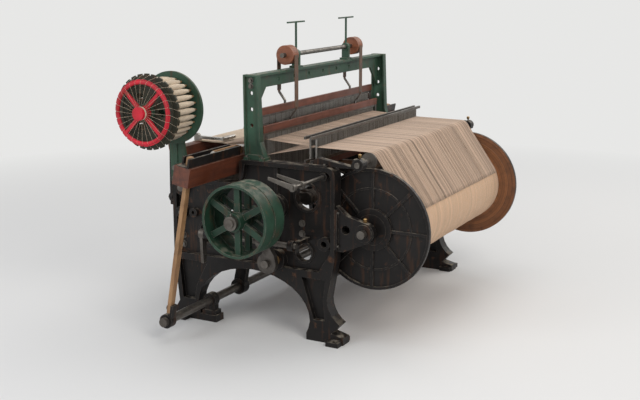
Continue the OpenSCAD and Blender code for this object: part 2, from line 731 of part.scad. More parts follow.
module cam_shaft() color(oiled_steel) bar_x(-pick_cam_x - 34, pick_cam_x + 34, cam_r, [0, cam_z]);
cam_small = 40;
cam_big = 66;
roller_r = 26;
roller_travel = harness_stroke * treadle_pivot[0] / (treadle_pivot[0] - harness_mid_y);
cam_lobe = roller_travel + cam_small - cam_big;
cam_x = [-58, 32];
cam_w = 26;
treadle_t = 22;
treadle_x = [cam_x[0] + cam_w + 1, cam_x[1] - treadle_t - 1];
module cams() {
    harness_cams();
    pick_cams();
}
module harness_cams() {
    color(oiled_steel) for (i = [0, 1]) along_x(cam_x[i], cam_x[i] + cam_w) translate([0, cam_z]) difference() {
        union() {
            translate([0, (i == 0 ? 1 : -1) * cam_lobe]) circle(cam_big);
            circle(cam_small);
        }
        circle(cam_r);
    }
}
// Picking cams: a round disc with one steep nose, half a turn apart
module pick_cams() {
    color(oiled_steel) for (s = [-1, 1]) along_x(s * pick_cam_x - 14, s * pick_cam_x + 14) translate([0, cam_z]) rotate(s * 90) difference() {
        union() {
            circle(52);
            polygon([[0, -51], [44, -44], [96, -8], [100, 8], [84, 16], [52, 22], [0, 51]]);
        }
        circle(cam_r);
    }
}

// Pick shafts lie along the sides. A cam kicks up the roller, and the arm in front swings inwards
// and pulls the picker stick. Each roller starts just outside the sweep of its cam's nose.
module pick_arm() {
    color(oiled_steel) {
        difference() {
            union() {
                bar_y(pick_x, pick_z, -352, 196, pick_r);
                bar_y(pick_x, pick_z, -352, -324, 26);
                bar_y(pick_x, pick_z, -18, 18, 27);
                translate([0, -330, 0]) rotate([90, 0, 0]) linear_extrude(16) polygon([
                    [pick_x - 22, pick_z], [pick_x + 22, pick_z], [pick_x + 13, pick_z - 150], [pick_x - 13, pick_z - 150]
                ]);
                block([pick_cam_x + 12, pick_x], [-11, 11], [pick_z - 9, pick_z + 9]);
            }
            for (z = [-112, -134]) translate([pick_x, -320, pick_z + z]) rotate([90, 0, 0]) cylinder(h = 40, r = 5);
        }
        bar_x(pick_cam_x - 12, pick_cam_x + 12, 22, [0, pick_z]);
    }
}
module pick_arm_right() pick_arm();
module pick_arm_left() mirror([1, 0, 0]) pick_arm();

module rocker_shaft() color(oiled_steel) bar_x(-lay_half + 12, lay_half - 12, rocker_r, [rocker_y, rocker_z]);

// Lay swords rise from the rocker shaft to the lay beam, with a foot under the beam
beam_low = race_h - 106;
lay_back = 50;
lay_front = -40;
module lay_swords() {
    color(cast_black) on_lay() both_sides() difference() {
        union() {
            along_x(sword_x, sword_x + sword_w) polygon([
                [-34, 0], [34, 0], [30, 300], [34, 560], [44, beam_low], [lay_front, beam_low], [-34, 560], [-26, 300]
            ]);
            bar_x(sword_x - 8, sword_x + sword_w + 6, 44);
            bar_x(sword_x, sword_x + sword_w, 40, [0, wrist_l]);
            block([sword_x - 40, sword_x + sword_w], [lay_front, lay_back - 6], [beam_low - 16, beam_low]);
        }
        bar_x(sword_x - 20, sword_x + sword_w + 20, rocker_r);
        for (z = [150, 250, 350, 450]) bar_x(sword_x - 1, sword_x + sword_w + 1, 15, [0, z]);
    }
    color(cast_black) on_lay() both_sides() {
        difference() {
            union() {
                bar_x(stick_x - 20, stick_x + 20, 36);
                block([stick_x - 20, stick_x + 20], [foot_plate, foot_plate + 12], [0, stick_foot + 44]);
            }
            bar_x(stick_x - 21, stick_x + 21, rocker_r);
        }
        translate([stick_x, foot_plate + 1, stick_foot + 24]) rotate([90, 0, 0]) {
            cylinder(h = stick_t + 6, r = 8);
            translate([0, 0, stick_t + 2]) cylinder(h = 6, r = 14);
        }
    }
}

// The lay beam, with a slot through each end for the picker stick
stick_x = lay_half - 56;
slot_x = [stick_x - pick_stroke - 45, stick_x + 24];
stick_y = 6;
stick_t = 20;
slot_half = stick_t / 2 + 3;
foot_plate = stick_y + stick_t / 2 + 0.5;
module lay_beam() {
    color(lay_wood) on_lay() difference() {
        union() {
            block([-lay_half, lay_half], [lay_front, lay_back], [beam_low + 12, race_h - 6]);
            block([-side_in + 30, side_in - 30], [lay_front, lay_back], [beam_low, beam_low + 12]);
            both_sides() block([side_in - 30, lay_half], [lay_front, lay_back], [race_h - 6, race_h]);
        }
        both_sides() block(slot_x, [stick_y - slot_half, stick_y + slot_half], [beam_low - 1, race_h + 1]);
        block([-warp_half - 14, warp_half + 14], [reed_y - 5, reed_y + 5], [race_h - 20, race_h]);
    }
}
module race_plate() {
    color(pale_wood) on_lay() block([-side_in + 30, side_in - 30], [lay_front + 1, 24], [race_h - 6, race_h]);
}
reed_y = 34;
module reed() {
    color(steel) on_lay() translate([0, reed_y, 0])
        wire_row(thread_count + 1, thread_pitch, reed_wire_w, 7, race_h - 8, race_h + reed_h, 10, 12, warp_half + 14);
}
cap_low = race_h + reed_h + 12;
module hand_rail() {
    cap_half = side_in - 14;
    color(lay_wood) on_lay() {
        along_x(-cap_half, cap_half) polygon(concat(
            [[reed_y - 20, cap_low], [reed_y + 20, cap_low], [reed_y + 20, cap_low + 34]],
            arc([reed_y, cap_low + 34], 20, 0, 180, 8)
        ));
        both_sides() block([warp_half + 18, warp_half + 48], [box_back + 1, lay_back - 2], [race_h - 6, cap_low]);
    }
}

box_x = [side_in + 22, lay_half];
thread_room = 3.8;
box_back = 30;
box_front = -18;
module shuttle_boxes() {
    color(cast_black) on_lay() both_sides() {
        difference() {
            block(box_x, [box_front - 8, box_back + 8], [race_h, race_h + thread_room - seat_gap]);
            block(slot_x, [stick_y - slot_half, stick_y + slot_half], [race_h - 1, race_h + thread_room + 1]);
        }
        block(box_x, [box_back, box_back + 8], [race_h, race_h + 46]);
        block([box_x[0] + 20, box_x[1] - 40], [box_front - 8, box_front], [race_h, race_h + 40]);
        block([box_x[0] + 60, box_x[0] + 90], [box_front - 20, box_front - 8], [race_h, race_h + 30]);
        block([box_x[1] - 110, box_x[1] - 80], [box_front - 20, box_front - 8], [race_h, race_h + 30]);
        block([box_x[0] + 30, box_x[0] + 130], [box_back - 4, box_back], [race_h + 38, race_h + 46]);
    }
}

stick_foot = 46;
stick_top = race_h + 42;
module picker_stick() {
    y = [stick_y - stick_t / 2, stick_y + stick_t / 2];
    color(pale_wood) on_lay() difference() {
        union() {
            translate([0, y[1], 0]) rotate([90, 0, 0]) linear_extrude(stick_t) polygon([
                [stick_x - 16, stick_foot], [stick_x + 16, stick_foot], [stick_x + 19, 420], [stick_x + 16, beam_low],
                [stick_x + 16, stick_top], [stick_x - 16, stick_top], [stick_x - 16, beam_low], [stick_x - 19, 420]
            ]);
        }
        translate([stick_x, y[1] + 1, stick_foot + 24]) rotate([90, 0, 0]) cylinder(h = stick_t + 2, r = 8 + run_gap);
    }
    color(leather) on_lay() {
        block([stick_x - 26, stick_x - 16], [y[0] - 2, y[1] + 2], [race_h + 8, race_h + 34]);
    }
}
module picker_stick_right() picker_stick();
module picker_stick_left() mirror([1, 0, 0]) picker_stick();

module shuttle() {
    back = box_back - 2;
    wide = 42;
    x1 = stick_x - 34 - pick_stroke;
    x0 = x1 - shuttle_len;
    nose = 52;
    color(pale_wood) on_lay() difference() {
        translate([0, 0, race_h + thread_room]) linear_extrude(30) polygon([
            [x0, back - 14], [x0 + nose, back], [x1 - nose, back], [x1, back - 14],
            [x1, back - 20], [x1 - nose, back - wide], [x0 + nose, back - wide], [x0, back - 20]
        ]);
        block([x0 + nose - 6, x1 - nose + 2], [back - 33, back - 9], [race_h + 12, race_h + 60]);
    }
}

// Harness frames: wooden bars top and bottom with iron ends
module harness_frame(y, lift) {
    low = warp_z + lift - harness_open / 2;
    high = warp_z + lift + harness_open / 2;
    half = harness_len / 2;
    translate([0, y, 0]) {
        block([-half, half], [0, harness_t], [low - harness_bar, low]);
        block([-half, half], [0, harness_t], [high, high + harness_bar]);
        for (s = [-1, 1]) block([s * half - 9 - s * 9, s * half + 9 - s * 9], [2, harness_t - 2], [low, high]);
    }
}
// A rod from the bottom bar down to just over its treadle
module harness_rod(i, y, lift) {
    low = warp_z + lift - harness_open / 2 - harness_bar;
    mid_y = y + harness_t / 2;
    tip = treadle_z(i, mid_y) + 14;
    translate([treadle_x[i] + treadle_t / 2, mid_y, tip]) cylinder(h = low - tip, r = 5);
}
// Straps hang from the sheaves, each with a yoke down to the harness frame's top bar
module harness_straps(y, lift, side) {
    high = warp_z + lift + harness_open / 2 + harness_bar;
    strap_y = post_y + side * (sheave_r + seat_gap + 1.5);
    mid_y = y + harness_t / 2;
    for (x = [-sheave_x, sheave_x]) {
        block([x - 18, x + 18], [strap_y - 1.5, strap_y + 1.5], [high + 66, roll_z]);
        along_x(x - 6, x + 6) polygon([
            [mid_y - 4, high - 30], [mid_y + 4, high - 30], [mid_y + 4, high + 16], [strap_y + 4, high + 60],
            [strap_y + 4, high + 72], [strap_y - 4, high + 72], [strap_y - 4, high + 56], [mid_y - 4, high + 12]
        ]);
    }
}
sheave_x = 380;
half_stroke = harness_stroke / 2;
module harness_front() {
    color(pale_wood) harness_frame(harness_front_y, half_stroke);
    color(leather) harness_straps(harness_front_y, half_stroke, -1);
    color(steel) harness_rod(0, harness_front_y, half_stroke);
}
module harness_back() {
    color(pale_wood) harness_frame(harness_back_y, -half_stroke);
    color(leather) harness_straps(harness_back_y, -half_stroke, 1);
    color(steel) harness_rod(1, harness_back_y, -half_stroke);
}
module heddle_row(y, lift, shift) {
    color(steel) translate([0, y + harness_t / 2, warp_z + lift])
        wire_row(floor(thread_count / 2), 2 * thread_pitch, 1.6, 4, -harness_open / 2 + 12, harness_open / 2 - 12, 5, 12,
            harness_len / 2 - 20, shift);
}
module heddles_front() heddle_row(harness_front_y, half_stroke, 0);
module heddles_back() heddle_row(harness_back_y, -half_stroke, thread_pitch);

module harness_roll() {
    color(oiled_steel) bar_x(-sheave_x - 60, sheave_x + 60, 12, [post_y, roll_z]);
    color(lay_wood) for (x = [-sheave_x, sheave_x]) difference() {
        union() {
            bar_x(x - 30, x + 30, sheave_r, [post_y, roll_z]);
        }
        bar_x(x - 31, x + 31, 12, [post_y, roll_z]);
    }
}

// Treadles: long levers under the cams, pivoted at the back, each with a roller below its cam
function roller_z(i) = cam_z - (i == 0 ? cam_small : cam_lobe + cam_big) - seat_gap - roller_r;
function treadle_z(i, y) = treadle_pivot[1]
    + (roller_z(i) - 14 - treadle_pivot[1]) * (treadle_pivot[0] - y) / treadle_pivot[0];
module treadle(i) {
    x0 = treadle_x[i];
    tip = harness_mid_y - 36;
    color(cast_black) difference() {
        union() {
            along_x(x0, x0 + treadle_t) polygon([
                [treadle_pivot[0] + 16, treadle_pivot[1] - 18], [treadle_pivot[0] + 16, treadle_pivot[1] + 18],
                [0, treadle_z(i, 0) + 14], [tip, treadle_z(i, tip) + 9],
                [tip, treadle_z(i, tip) - 9], [0, treadle_z(i, 0) - 16]
            ]);
            bar_x(x0, x0 + treadle_t, 24, treadle_pivot);
            bar_x(x0, x0 + treadle_t, roller_r, [0, roller_z(i)]);
        }
        bar_x(x0 - 1, x0 + treadle_t + 1, 10 + run_gap, treadle_pivot);
    }
}
module treadle_front() treadle(0);
module treadle_back() treadle(1);

// Warp beam: barrel with gudgeons, ribbed heads and the wound yarn
module beam_barrel() {
    color(pale_wood) translate([0, beam_y, beam_z]) {
        bar_x(-beam_len / 2 - 24, beam_len / 2 + 24, 76);
        bar_x(-side_out - 18, side_out + 18, 20);
    }
}
module beam_head_2d() {
    difference() {
        circle(head_r, $fn = 96);
        circle(76);
    }
}
module beam_heads() {
    color(cast_black) translate([0, beam_y, beam_z]) {
        both_sides() {
            along_x(beam_len / 2, beam_len / 2 + 8) beam_head_2d();
            ring_x(beam_len / 2 + 8, beam_len / 2 + 20, head_r, head_r - 14);
            ring_x(beam_len / 2 + 8, beam_len / 2 + 24, 104, 76);
            ring_x(beam_len / 2 + 8, beam_len / 2 + 13, 206, 196);
            for (r = [head_r - 12, head_r - 44]) ring_x(beam_len / 2 - 2, beam_len / 2, r, r - 9);
            for (i = [0:7]) rotate([i * 45, 0, 0]) block([beam_len / 2 + 8, beam_len / 2 + 17], [-7, 7], [102, head_r - 13]);
        }
    }
    color(oiled_steel) translate([0, beam_y, beam_z]) mirror([1, 0, 0]) along_x(beam_len / 2 + 24, beam_len / 2 + 46)
        gear_2d(let_off_teeth[0], let_off_module, 20, let_off_angle);
}
module beam_yarn() color(yarn) translate([0, beam_y, beam_z]) ring_x(-beam_len / 2, beam_len / 2, warp_r, 76);
module let_off_pinion() {
    color(oiled_steel) mirror([1, 0, 0]) translate([0, let_off_pin[0], let_off_pin[1]]) {
        along_x(beam_len / 2 + 24, beam_len / 2 + 46)
            gear_2d(let_off_teeth[1], let_off_module, 16, let_off_angle - 180 + 180 / let_off_teeth[1]);
        bar_x(beam_len / 2 + 22, side_out + 60, 16);
        ring_x(side_out + 10, side_out + 28, 70, 16);
    }
}
module whip_roll() {
    color(steel) {
        bar_x(-beam_len / 2 + 10, beam_len / 2 - 10, whip_r, [whip_y, whip_z]);
        bar_x(-side_out + 4, side_out - 4, 14, [whip_y, whip_z]);
    }
}

module take_up_roll() {
    color([0.30, 0.27, 0.24]) {
        bar_x(-side_in + 8, side_in - 8, take_up_r, [take_up_y, take_up_z]);
        bar_x(-side_out - 52, side_out + 6, stud_r, [take_up_y, take_up_z]);
    }
    color(oiled_steel) mirror([1, 0, 0]) translate([0, take_up_y, take_up_z])
        along_x(side_out + 12, side_out + 32) gear_2d(take_teeth[0], take_module, stud_r, take_angle);
}
module take_up_pinion() {
    ratchet_r = 66;
    color(oiled_steel) mirror([1, 0, 0]) translate([0, take_pin[0], take_pin[1]]) {
        along_x(side_out + 12, side_out + 34) gear_2d(take_teeth[1], take_module, pin_r, 180 + take_angle + 180 / take_teeth[1]);
        along_x(side_out + 34, side_out + 44) difference() {
            polygon([for (i = [0:39], p = [[ratchet_r, 0], [ratchet_r - 7, 1]]) p[0] * [cos(9 * i + p[1]), sin(9 * i + p[1])]]);
            circle(pin_r);
        }
        bar_x(side_in, side_out + 60, pin_r);
    }
}
module cloth_roll() {
    color(yarn) bar_x(-warp_half - 8, warp_half + 8, cloth_r, [take_up_y, cloth_roll_z]);
    color(steel) bar_x(-side_out - 10, side_out + 10, 12, [take_up_y, cloth_roll_z]);
}

// Bobbin magazine: a green plate for the bobbin tips, a notched plate for their butts
module magazine_plates() {
    color(cast_green) translate([0, magazine_y, magazine_z]) {
        difference() {
            union() {
                bar_x(magazine_x - 8, magazine_x, plate_r - 4, fn = 96);
                ring_x(magazine_x - 13, magazine_x - 8, plate_r - 4, plate_r - 14);
                ring_x(magazine_x - 12, magazine_x - 8, 112, 104);
                bar_x(magazine_x - 20, butt_x + 26, 44);
            }
            bar_x(magazine_x - 21, butt_x + 27, stud_r + run_gap);
        }
    }
    color(cast_black) translate([0, magazine_y, magazine_z]) along_x(butt_x, butt_x + 10) difference() {
        circle(plate_r, $fn = 96);
        circle(44);
        for (i = [0:bobbin_count - 1]) rotate((i + 0.5) * 360 / bobbin_count) translate([plate_r - 2, 0]) circle(8, $fn = 16);
        for (i = [0:5]) rotate(i * 60) translate([84, 0]) circle(20);
    }
    color(cast_black) translate([0, magazine_y, magazine_z])
        for (r = [124, 158]) ring_x(butt_x + 10, butt_x + 14, r, r - 9);
}
module magazine_bobbins() {
    color(yarn) translate([0, magazine_y, magazine_z]) for (i = [0:bobbin_count - 1])
        rotate([i * 360 / bobbin_count, 0, 0]) translate([magazine_x, 0, bobbin_ring_r]) rotate([0, 90, 0])
            rotate_extrude($fn = 16) polygon([
                [0, 0], [5, 0], [7, 26], [bobbin_r - 2, 60], [bobbin_r, 70], [bobbin_r, bobbin_len - 34],
                [9, bobbin_len - 30], [9, bobbin_len - 12], [13, bobbin_len - 10], [13, bobbin_len], [0, bobbin_len]
            ]);
}
module magazine_wheel() {
    rim_x = butt_x + 50;
    rim_r = plate_r - 30;
    stud_end = butt_x + 78;
    color(signal_red) translate([0, magazine_y, magazine_z]) difference() {
        union() {
            rotate([0, 90, 0]) rotate_extrude() translate([rim_r - 9, rim_x]) circle(9, $fn = 24);
            along_x(rim_x - 2, rim_x + 2) difference() {
                circle(rim_r + 6);
                circle(rim_r - 5);
                for (i = [0:bobbin_count - 1]) rotate(i * 360 / bobbin_count) translate([rim_r + 5, 0]) circle(3, $fn = 16);
            }
            bar_x(butt_x + 26, stud_end + 2, 24);
            bar_x(butt_x + 26, butt_x + 31, 34);
            bar_x(stud_end - 6, stud_end + 12, 33);
            for (i = [0:3]) rotate([45 + i * 90, 0, 0])
                translate([rim_x - 5, 0, 0]) rotate([90, 0, 90]) linear_extrude(10)
                    polygon([[20, -12], [rim_r - 8, -7], [rim_r - 8, 7], [20, 12]]);
        }
        bar_x(butt_x + 20, stud_end + 0.5, stud_r + run_gap);
    }
}

handle_pivot = [side_mid - 4, horn_y - 26, 640];
grip_z = breast_z - 44;
module shipper_handle() {
    x = handle_pivot[0];
    y = handle_pivot[1];
    z = handle_pivot[2];
    color(cast_black) difference() {
        union() {
            translate([0, y + 7, 0]) rotate([90, 0, 0]) linear_extrude(14) polygon([
                [x - 15, z - 40], [x + 15, z - 40], [x + 16, z + 60], [x + 11, grip_z], [x - 11, grip_z], [x - 16, z + 60]
            ]);
            translate([x, y + 12, z]) rotate([90, 0, 0]) cylinder(h = 20, r = 26);
        }
        translate([x, y + 13, z]) rotate([90, 0, 0]) cylinder(h = 26, r = 10 + run_gap);
    }
    color(lay_wood) translate([x, y, grip_z]) rotate_extrude($fn = 32)
        polygon([[0, 0], [12, 0], [17, 30], [18, 70], [14, 104], [8, 116], [0, 118]]);
}

fork_at = [268, side_top_z - 46];
fork_r = 9;
module belt_fork() {
    color(oiled_steel) {
        bar_x(side_in - 60, loose_x + 12, fork_r, fork_at);
        for (x = [tight_x - 5, tight_x + pulley_w - 4]) {
            along_x(x, x + 9) polygon([
                [fork_at[0] - 6, fork_at[1] - 12], [fork_at[0] + 12, fork_at[1]], [fork_at[0] - 2, fork_at[1] + 14],
                [fork_at[0] - 130, fork_at[1] + 40], [fork_at[0] - 130, fork_at[1] + 26]
            ]);
            bar_x(x - 5, x + 14, 17, fork_at);
        }
    }
}

side_frame_right();
side_frame_left();
arch_posts();
arch_rail();
roll_stands();
breast_beam();
cross_girts();
beam_stands();
whip_brackets();
shaft_bushes();
bearing_blocks();
frame_bolts();
warp_threads();
cloth_web();
temples();
drop_wires();
magazine_stand();
crankshaft();
tight_pulley();
loose_pulley();
pulley_collar();
handwheel();
crank_gear();
crank_arm_right();
crank_arm_left();
cam_shaft();
cam_gear();
cams();
pick_arm_right();
pick_arm_left();
rocker_shaft();
lay_swords();
lay_beam();
race_plate();
reed();
hand_rail();
shuttle_boxes();
picker_stick_right();
picker_stick_left();
shuttle();
harness_front();
harness_back();
heddles_front();
heddles_back();
harness_roll();
treadle_front();
treadle_back();
beam_barrel();
beam_heads();
beam_yarn();
let_off_pinion();
whip_roll();
take_up_roll();
take_up_pinion();
cloth_roll();
magazine_plates();
magazine_bobbins();
magazine_wheel();
shipper_handle();
belt_fork();
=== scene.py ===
# %% [markdown]
# # Dressing a power loom
# A power loom weaves cloth by machine. Its cast iron sides carry a warp beam at the back, a pair
# of harness frames under a green arch, a swinging lay with the reed, and a take-up roll in front.
# The solid model comes packed from CAD with its joints. This lesson gives it yarn, cloth and
# finishes in Blender, and keeps every size that the frame already has.

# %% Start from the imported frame
import json
import math
import random

import bpy
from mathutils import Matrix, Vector


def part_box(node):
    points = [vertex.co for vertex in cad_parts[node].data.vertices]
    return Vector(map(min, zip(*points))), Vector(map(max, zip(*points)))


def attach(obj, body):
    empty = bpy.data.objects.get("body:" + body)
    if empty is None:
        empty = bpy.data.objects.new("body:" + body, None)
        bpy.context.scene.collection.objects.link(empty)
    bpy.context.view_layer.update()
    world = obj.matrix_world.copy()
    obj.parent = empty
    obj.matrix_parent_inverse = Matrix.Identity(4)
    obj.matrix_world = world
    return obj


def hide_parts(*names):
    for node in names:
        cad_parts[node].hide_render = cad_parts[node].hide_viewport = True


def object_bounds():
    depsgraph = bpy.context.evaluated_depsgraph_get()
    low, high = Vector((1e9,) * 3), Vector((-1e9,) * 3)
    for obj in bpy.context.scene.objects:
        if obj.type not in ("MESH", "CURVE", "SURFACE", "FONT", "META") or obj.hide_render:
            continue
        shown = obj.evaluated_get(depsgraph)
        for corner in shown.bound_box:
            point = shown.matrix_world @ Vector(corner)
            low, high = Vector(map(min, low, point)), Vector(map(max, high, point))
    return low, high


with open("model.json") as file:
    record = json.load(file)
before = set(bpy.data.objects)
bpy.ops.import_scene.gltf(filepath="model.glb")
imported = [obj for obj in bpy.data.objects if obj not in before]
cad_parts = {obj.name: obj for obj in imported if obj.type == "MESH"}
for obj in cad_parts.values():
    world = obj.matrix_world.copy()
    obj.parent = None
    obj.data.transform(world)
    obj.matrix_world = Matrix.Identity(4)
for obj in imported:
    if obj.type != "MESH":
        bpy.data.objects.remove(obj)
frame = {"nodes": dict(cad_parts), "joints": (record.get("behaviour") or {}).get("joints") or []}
nodes = frame["nodes"]
cad_low, cad_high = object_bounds()
chance = random.Random(11)

# %% [markdown]
# ## Places that come from the frame
# Yarn lies on rolls, so its path has to follow them. The places could be typed in or fitted by
# eye. Here the axes are read from the joints and the radii from the boxes of the rolls, because
# then the yarn still lies on its rolls when the CAD model changes.

# %% Axes and radii
joint_at = {joint["name"]: Vector(joint["pos_m"]) for joint in frame["joints"] if "pos_m" in joint}
beam_axis = joint_at["warp_beam_turn"]
whip_axis = joint_at["whip_roll_turn"]
take_up_axis = joint_at["take_up_turn"]
cloth_axis = joint_at["cloth_roll_turn"]
magazine_axis = joint_at["magazine_turn"]
rocker_axis = joint_at["lay_swing"]
roll_axis = joint_at["harness_roll_turn"]
crank_axis = joint_at["crank_spin"]
cam_axis = joint_at["cam_spin"]


def half_size(name):
    low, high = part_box(name)
    return (high - low) / 2


def middle(name):
    low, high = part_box(name)
    return (high + low) / 2


WEB_HALF_THICK = 0.00075
warp_radius = half_size("beam_yarn").z
whip_radius = half_size("whip_roll").z
warp_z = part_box("cloth_web")[1].z - WEB_HALF_THICK
warp_half_width = half_size("warp_threads").x
print("warp radius", round(warp_radius, 3), "and height", round(warp_z, 3))
print("whip roll radius", round(whip_radius, 3))

# %% [markdown]
# ## Building meshes from rows of points
# Threads, wires and turned pieces are all rows of rings. They could be curves with a bevel or
# copies of one object, but a warp has hundreds of threads. One helper joins rings with quads, so
# a whole sheet of threads is one light mesh.


# %% Mesh helpers
class Shape:
    """Collects rings of points and the quads between them, for one piece."""

    def __init__(self):
        self.points = []
        self.faces = []
        self.marks = []

    def rings(self, rings, mark=0, closed=True, capped=True):
        start = len(self.points)
        count = len(rings[0])
        for ring in rings:
            self.points.extend(ring)
        for row in range(len(rings) - 1):
            for k in range(count if closed else count - 1):
                a = start + row * count + k
                b = start + row * count + (k + 1) % count
                self.faces.append((a, b, b + count, a + count))
                self.marks.append(mark)
        if capped:
            self.faces.append(tuple(range(start + count - 1, start - 1, -1)))
            last = start + (len(rings) - 1) * count
            self.faces.append(tuple(range(last, last + count)))
            self.marks.extend((mark, mark))

    def box(self, low, high, mark=0):
        x, y, z = zip(low, high)
        ring = ((0, 0), (1, 0), (1, 1), (0, 1))
        self.rings([[(x[i], y[j], z[k]) for i, j in ring] for k in (0, 1)], mark)

    def thread(self, path, radius, sides=4, mark=0):
        """A round thread along a path of points."""
        rings = []
        for i, point in enumerate(path):
            ahead = Vector(path[min(i + 1, len(path) - 1)]) - Vector(path[max(i - 1, 0)])
            side = ahead.cross(Vector((0, 0, 1)))
            if side.length < 1e-6:
                side = Vector((1, 0, 0))
            side.normalize()
            rise = side.cross(ahead).normalized()
            rings.append([Vector(point) + radius * (math.cos(a) * side + math.sin(a) * rise)
                          for a in turn_in(sides)])
        self.rings(rings, mark)

    def lathe(self, profile, at, steps, mark=0, turn=0.0):
        """A turned piece on an axis along X. The profile is a list of (x, radius)."""
        angles = [turn + a for a in turn_in(steps)]
        self.rings([[(at[0] + x, at[1] + r * math.cos(a), at[2] + r * math.sin(a)) for a in angles]
                    for x, r in profile], mark)

    def piece(self, name, materials, body, slot, smooth=True):
        mesh = bpy.data.meshes.new(name)
        mesh.from_pydata([tuple(p) for p in self.points], [], self.faces)
        mesh.validate()
        for material in materials:
            mesh.materials.append(material)
        for face, mark in zip(mesh.polygons, self.marks):
            face.material_index = mark
            face.use_smooth = smooth
        obj = bpy.data.objects.new(name, mesh)
        bpy.context.scene.collection.objects.link(obj)
        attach(obj, body)
        print(name, len(mesh.polygons), "faces")
        return obj


def turn_in(steps):
    """The angles of one whole turn in equal steps."""
    return [math.tau * k / steps for k in range(steps)]


def arc_points(centre, radius, first, last, steps):
    """Points (y, z) on an arc, with angles in degrees from +Y."""
    angles = [math.radians(first + (last - first) * i / steps) for i in range(steps + 1)]
    return [(centre.y + radius * math.cos(a), centre.z + radius * math.sin(a)) for a in angles]


print("half a turn in 8 steps has", len(arc_points(beam_axis, warp_radius, 0, 180, 8)), "points")

# %% [markdown]
# ## Finishes as node groups of plain steps
# A mill finish is many thin layers: paint, oil, rust at the edges, and lint on every ledge. It
# could be a painted picture on each piece, but that needs unwrapping and shows its pixels close
# up. Here each layer is a mask and a mix, made by small helpers, so a finish stays readable.

# %% Node helpers
BUMP_STRENGTH = 0.7


def begin(name):
    material = bpy.data.materials.new(name)
    material.use_nodes = True
    tree = material.node_tree
    print("finish:", name)
    return material, tree, tree.nodes["Principled BSDF"]


def feed(tree, socket, value):
    """A socket takes a link from another node, or a constant of its own."""
    if isinstance(value, bpy.types.NodeSocket):
        tree.links.new(value, socket)
    else:
        socket.default_value = value


def add(tree, kind, inputs=None, **settings):
    node = tree.nodes.new("ShaderNode" + kind)
    for key, value in settings.items():
        setattr(node, key, value)
    for key, value in (inputs or {}).items():
        feed(tree, node.inputs[key], value)
    return node


def place(tree, stretch=(1, 1, 1)):
    """The piece's own coordinates in metres, scaled to stretch a pattern."""
    where = add(tree, "TexCoord").outputs["Object"]
    return add(tree, "Mapping", {"Vector": where, "Scale": stretch}).outputs[0]


def noise(tree, where, scale, detail=4.0, rough=0.55):
    inputs = {"Vector": where, "Scale": scale, "Detail": detail, "Roughness": rough}
    return add(tree, "TexNoise", inputs).outputs["Fac"]


def bands(tree, where, period, axis="X", wobble=0.0):
    """Fine parallel ridges, with their period in metres."""
    inputs = {"Vector": where, "Scale": math.tau / (20 * period), "Distortion": wobble, "Detail": 1.0}
    return add(tree, "TexWave", inputs, bands_direction=axis).outputs["Fac"]


def ramp(tree, value, low, high, to_low=0.0, to_high=1.0):
    inputs = {"Value": value, "From Min": low, "From Max": high, "To Min": to_low, "To Max": to_high}
    return add(tree, "MapRange", inputs).outputs[0]


def calc(tree, operation, a, b=0.0):
    return add(tree, "Math", {0: a, 1: b}, operation=operation).outputs[0]


def mix(tree, factor, under, over):
    """Lays one colour over another. Sockets 6 and 7 are the node's two colours."""
    node = add(tree, "Mix", {0: factor}, data_type="RGBA")
    for index, colour in ((6, under), (7, over)):
        linked = isinstance(colour, bpy.types.NodeSocket)
        feed(tree, node.inputs[index], colour if linked else (*colour, 1.0))
    return node.outputs[2]


def shade(colour, factor):
    return tuple(min(1.0, c * factor) for c in colour)


def rounded(tree, radius):
    """The surface normal with its hard edges eased over a small radius."""
    return add(tree, "Bevel", {"Radius": radius}, samples=4).outputs[0]


def edge_mask(tree, radius):
    """High on hard edges, where the eased normal leaves the flat one."""
    flat = add(tree, "NewGeometry").outputs["Normal"]
    eased = rounded(tree, radius)
    same = add(tree, "VectorMath", {0: eased, 1: flat}, operation="DOT_PRODUCT").outputs["Value"]
    return ramp(tree, calc(tree, "SUBTRACT", 1.0, same), 0.02, 0.14)


def ledge_mask(tree, where, patch=30.0, low=0.46, high=0.62):
    """Where lint settles: faces that look up, in patches."""
    normal = add(tree, "NewGeometry").outputs["Normal"]
    up = ramp(tree, add(tree, "SeparateXYZ", {0: normal}).outputs["Z"], 0.55, 0.95)
    return calc(tree, "MULTIPLY", up, ramp(tree, noise(tree, where, patch, 6.0), low, high))


def finish(tree, shader, colour, roughness, height, distance, normal=None, metal=0.0):
    feed(tree, shader.inputs["Base Color"], colour)
    feed(tree, shader.inputs["Roughness"], roughness)
    feed(tree, shader.inputs["Metallic"], metal)
    bump = add(tree, "Bump", {"Height": height, "Distance": distance, "Strength": BUMP_STRENGTH})
    if normal is not None:
        feed(tree, bump.inputs["Normal"], normal)
    feed(tree, shader.inputs["Normal"], bump.outputs[0])


print("node helpers ready, bump strength", BUMP_STRENGTH)

# %% [markdown]
# ## Painted cast iron
# The castings were sand cast and painted, then oiled for years. Paint has worn to brown iron on
# the edges, oil runs down the sides, and pale lint lies on every ledge. The wear could be painted
# by hand. A bevel in the shader finds the edges by itself, so one finish fits every casting, and
# a fine grain in the bump gives the skin that the sand left.

# %% Paint finishes
LINT = (0.36, 0.31, 0.24)
RUST = (0.13, 0.055, 0.025)
BARE_IRON = (0.14, 0.12, 0.10)
WORN_EDGE = 0.004


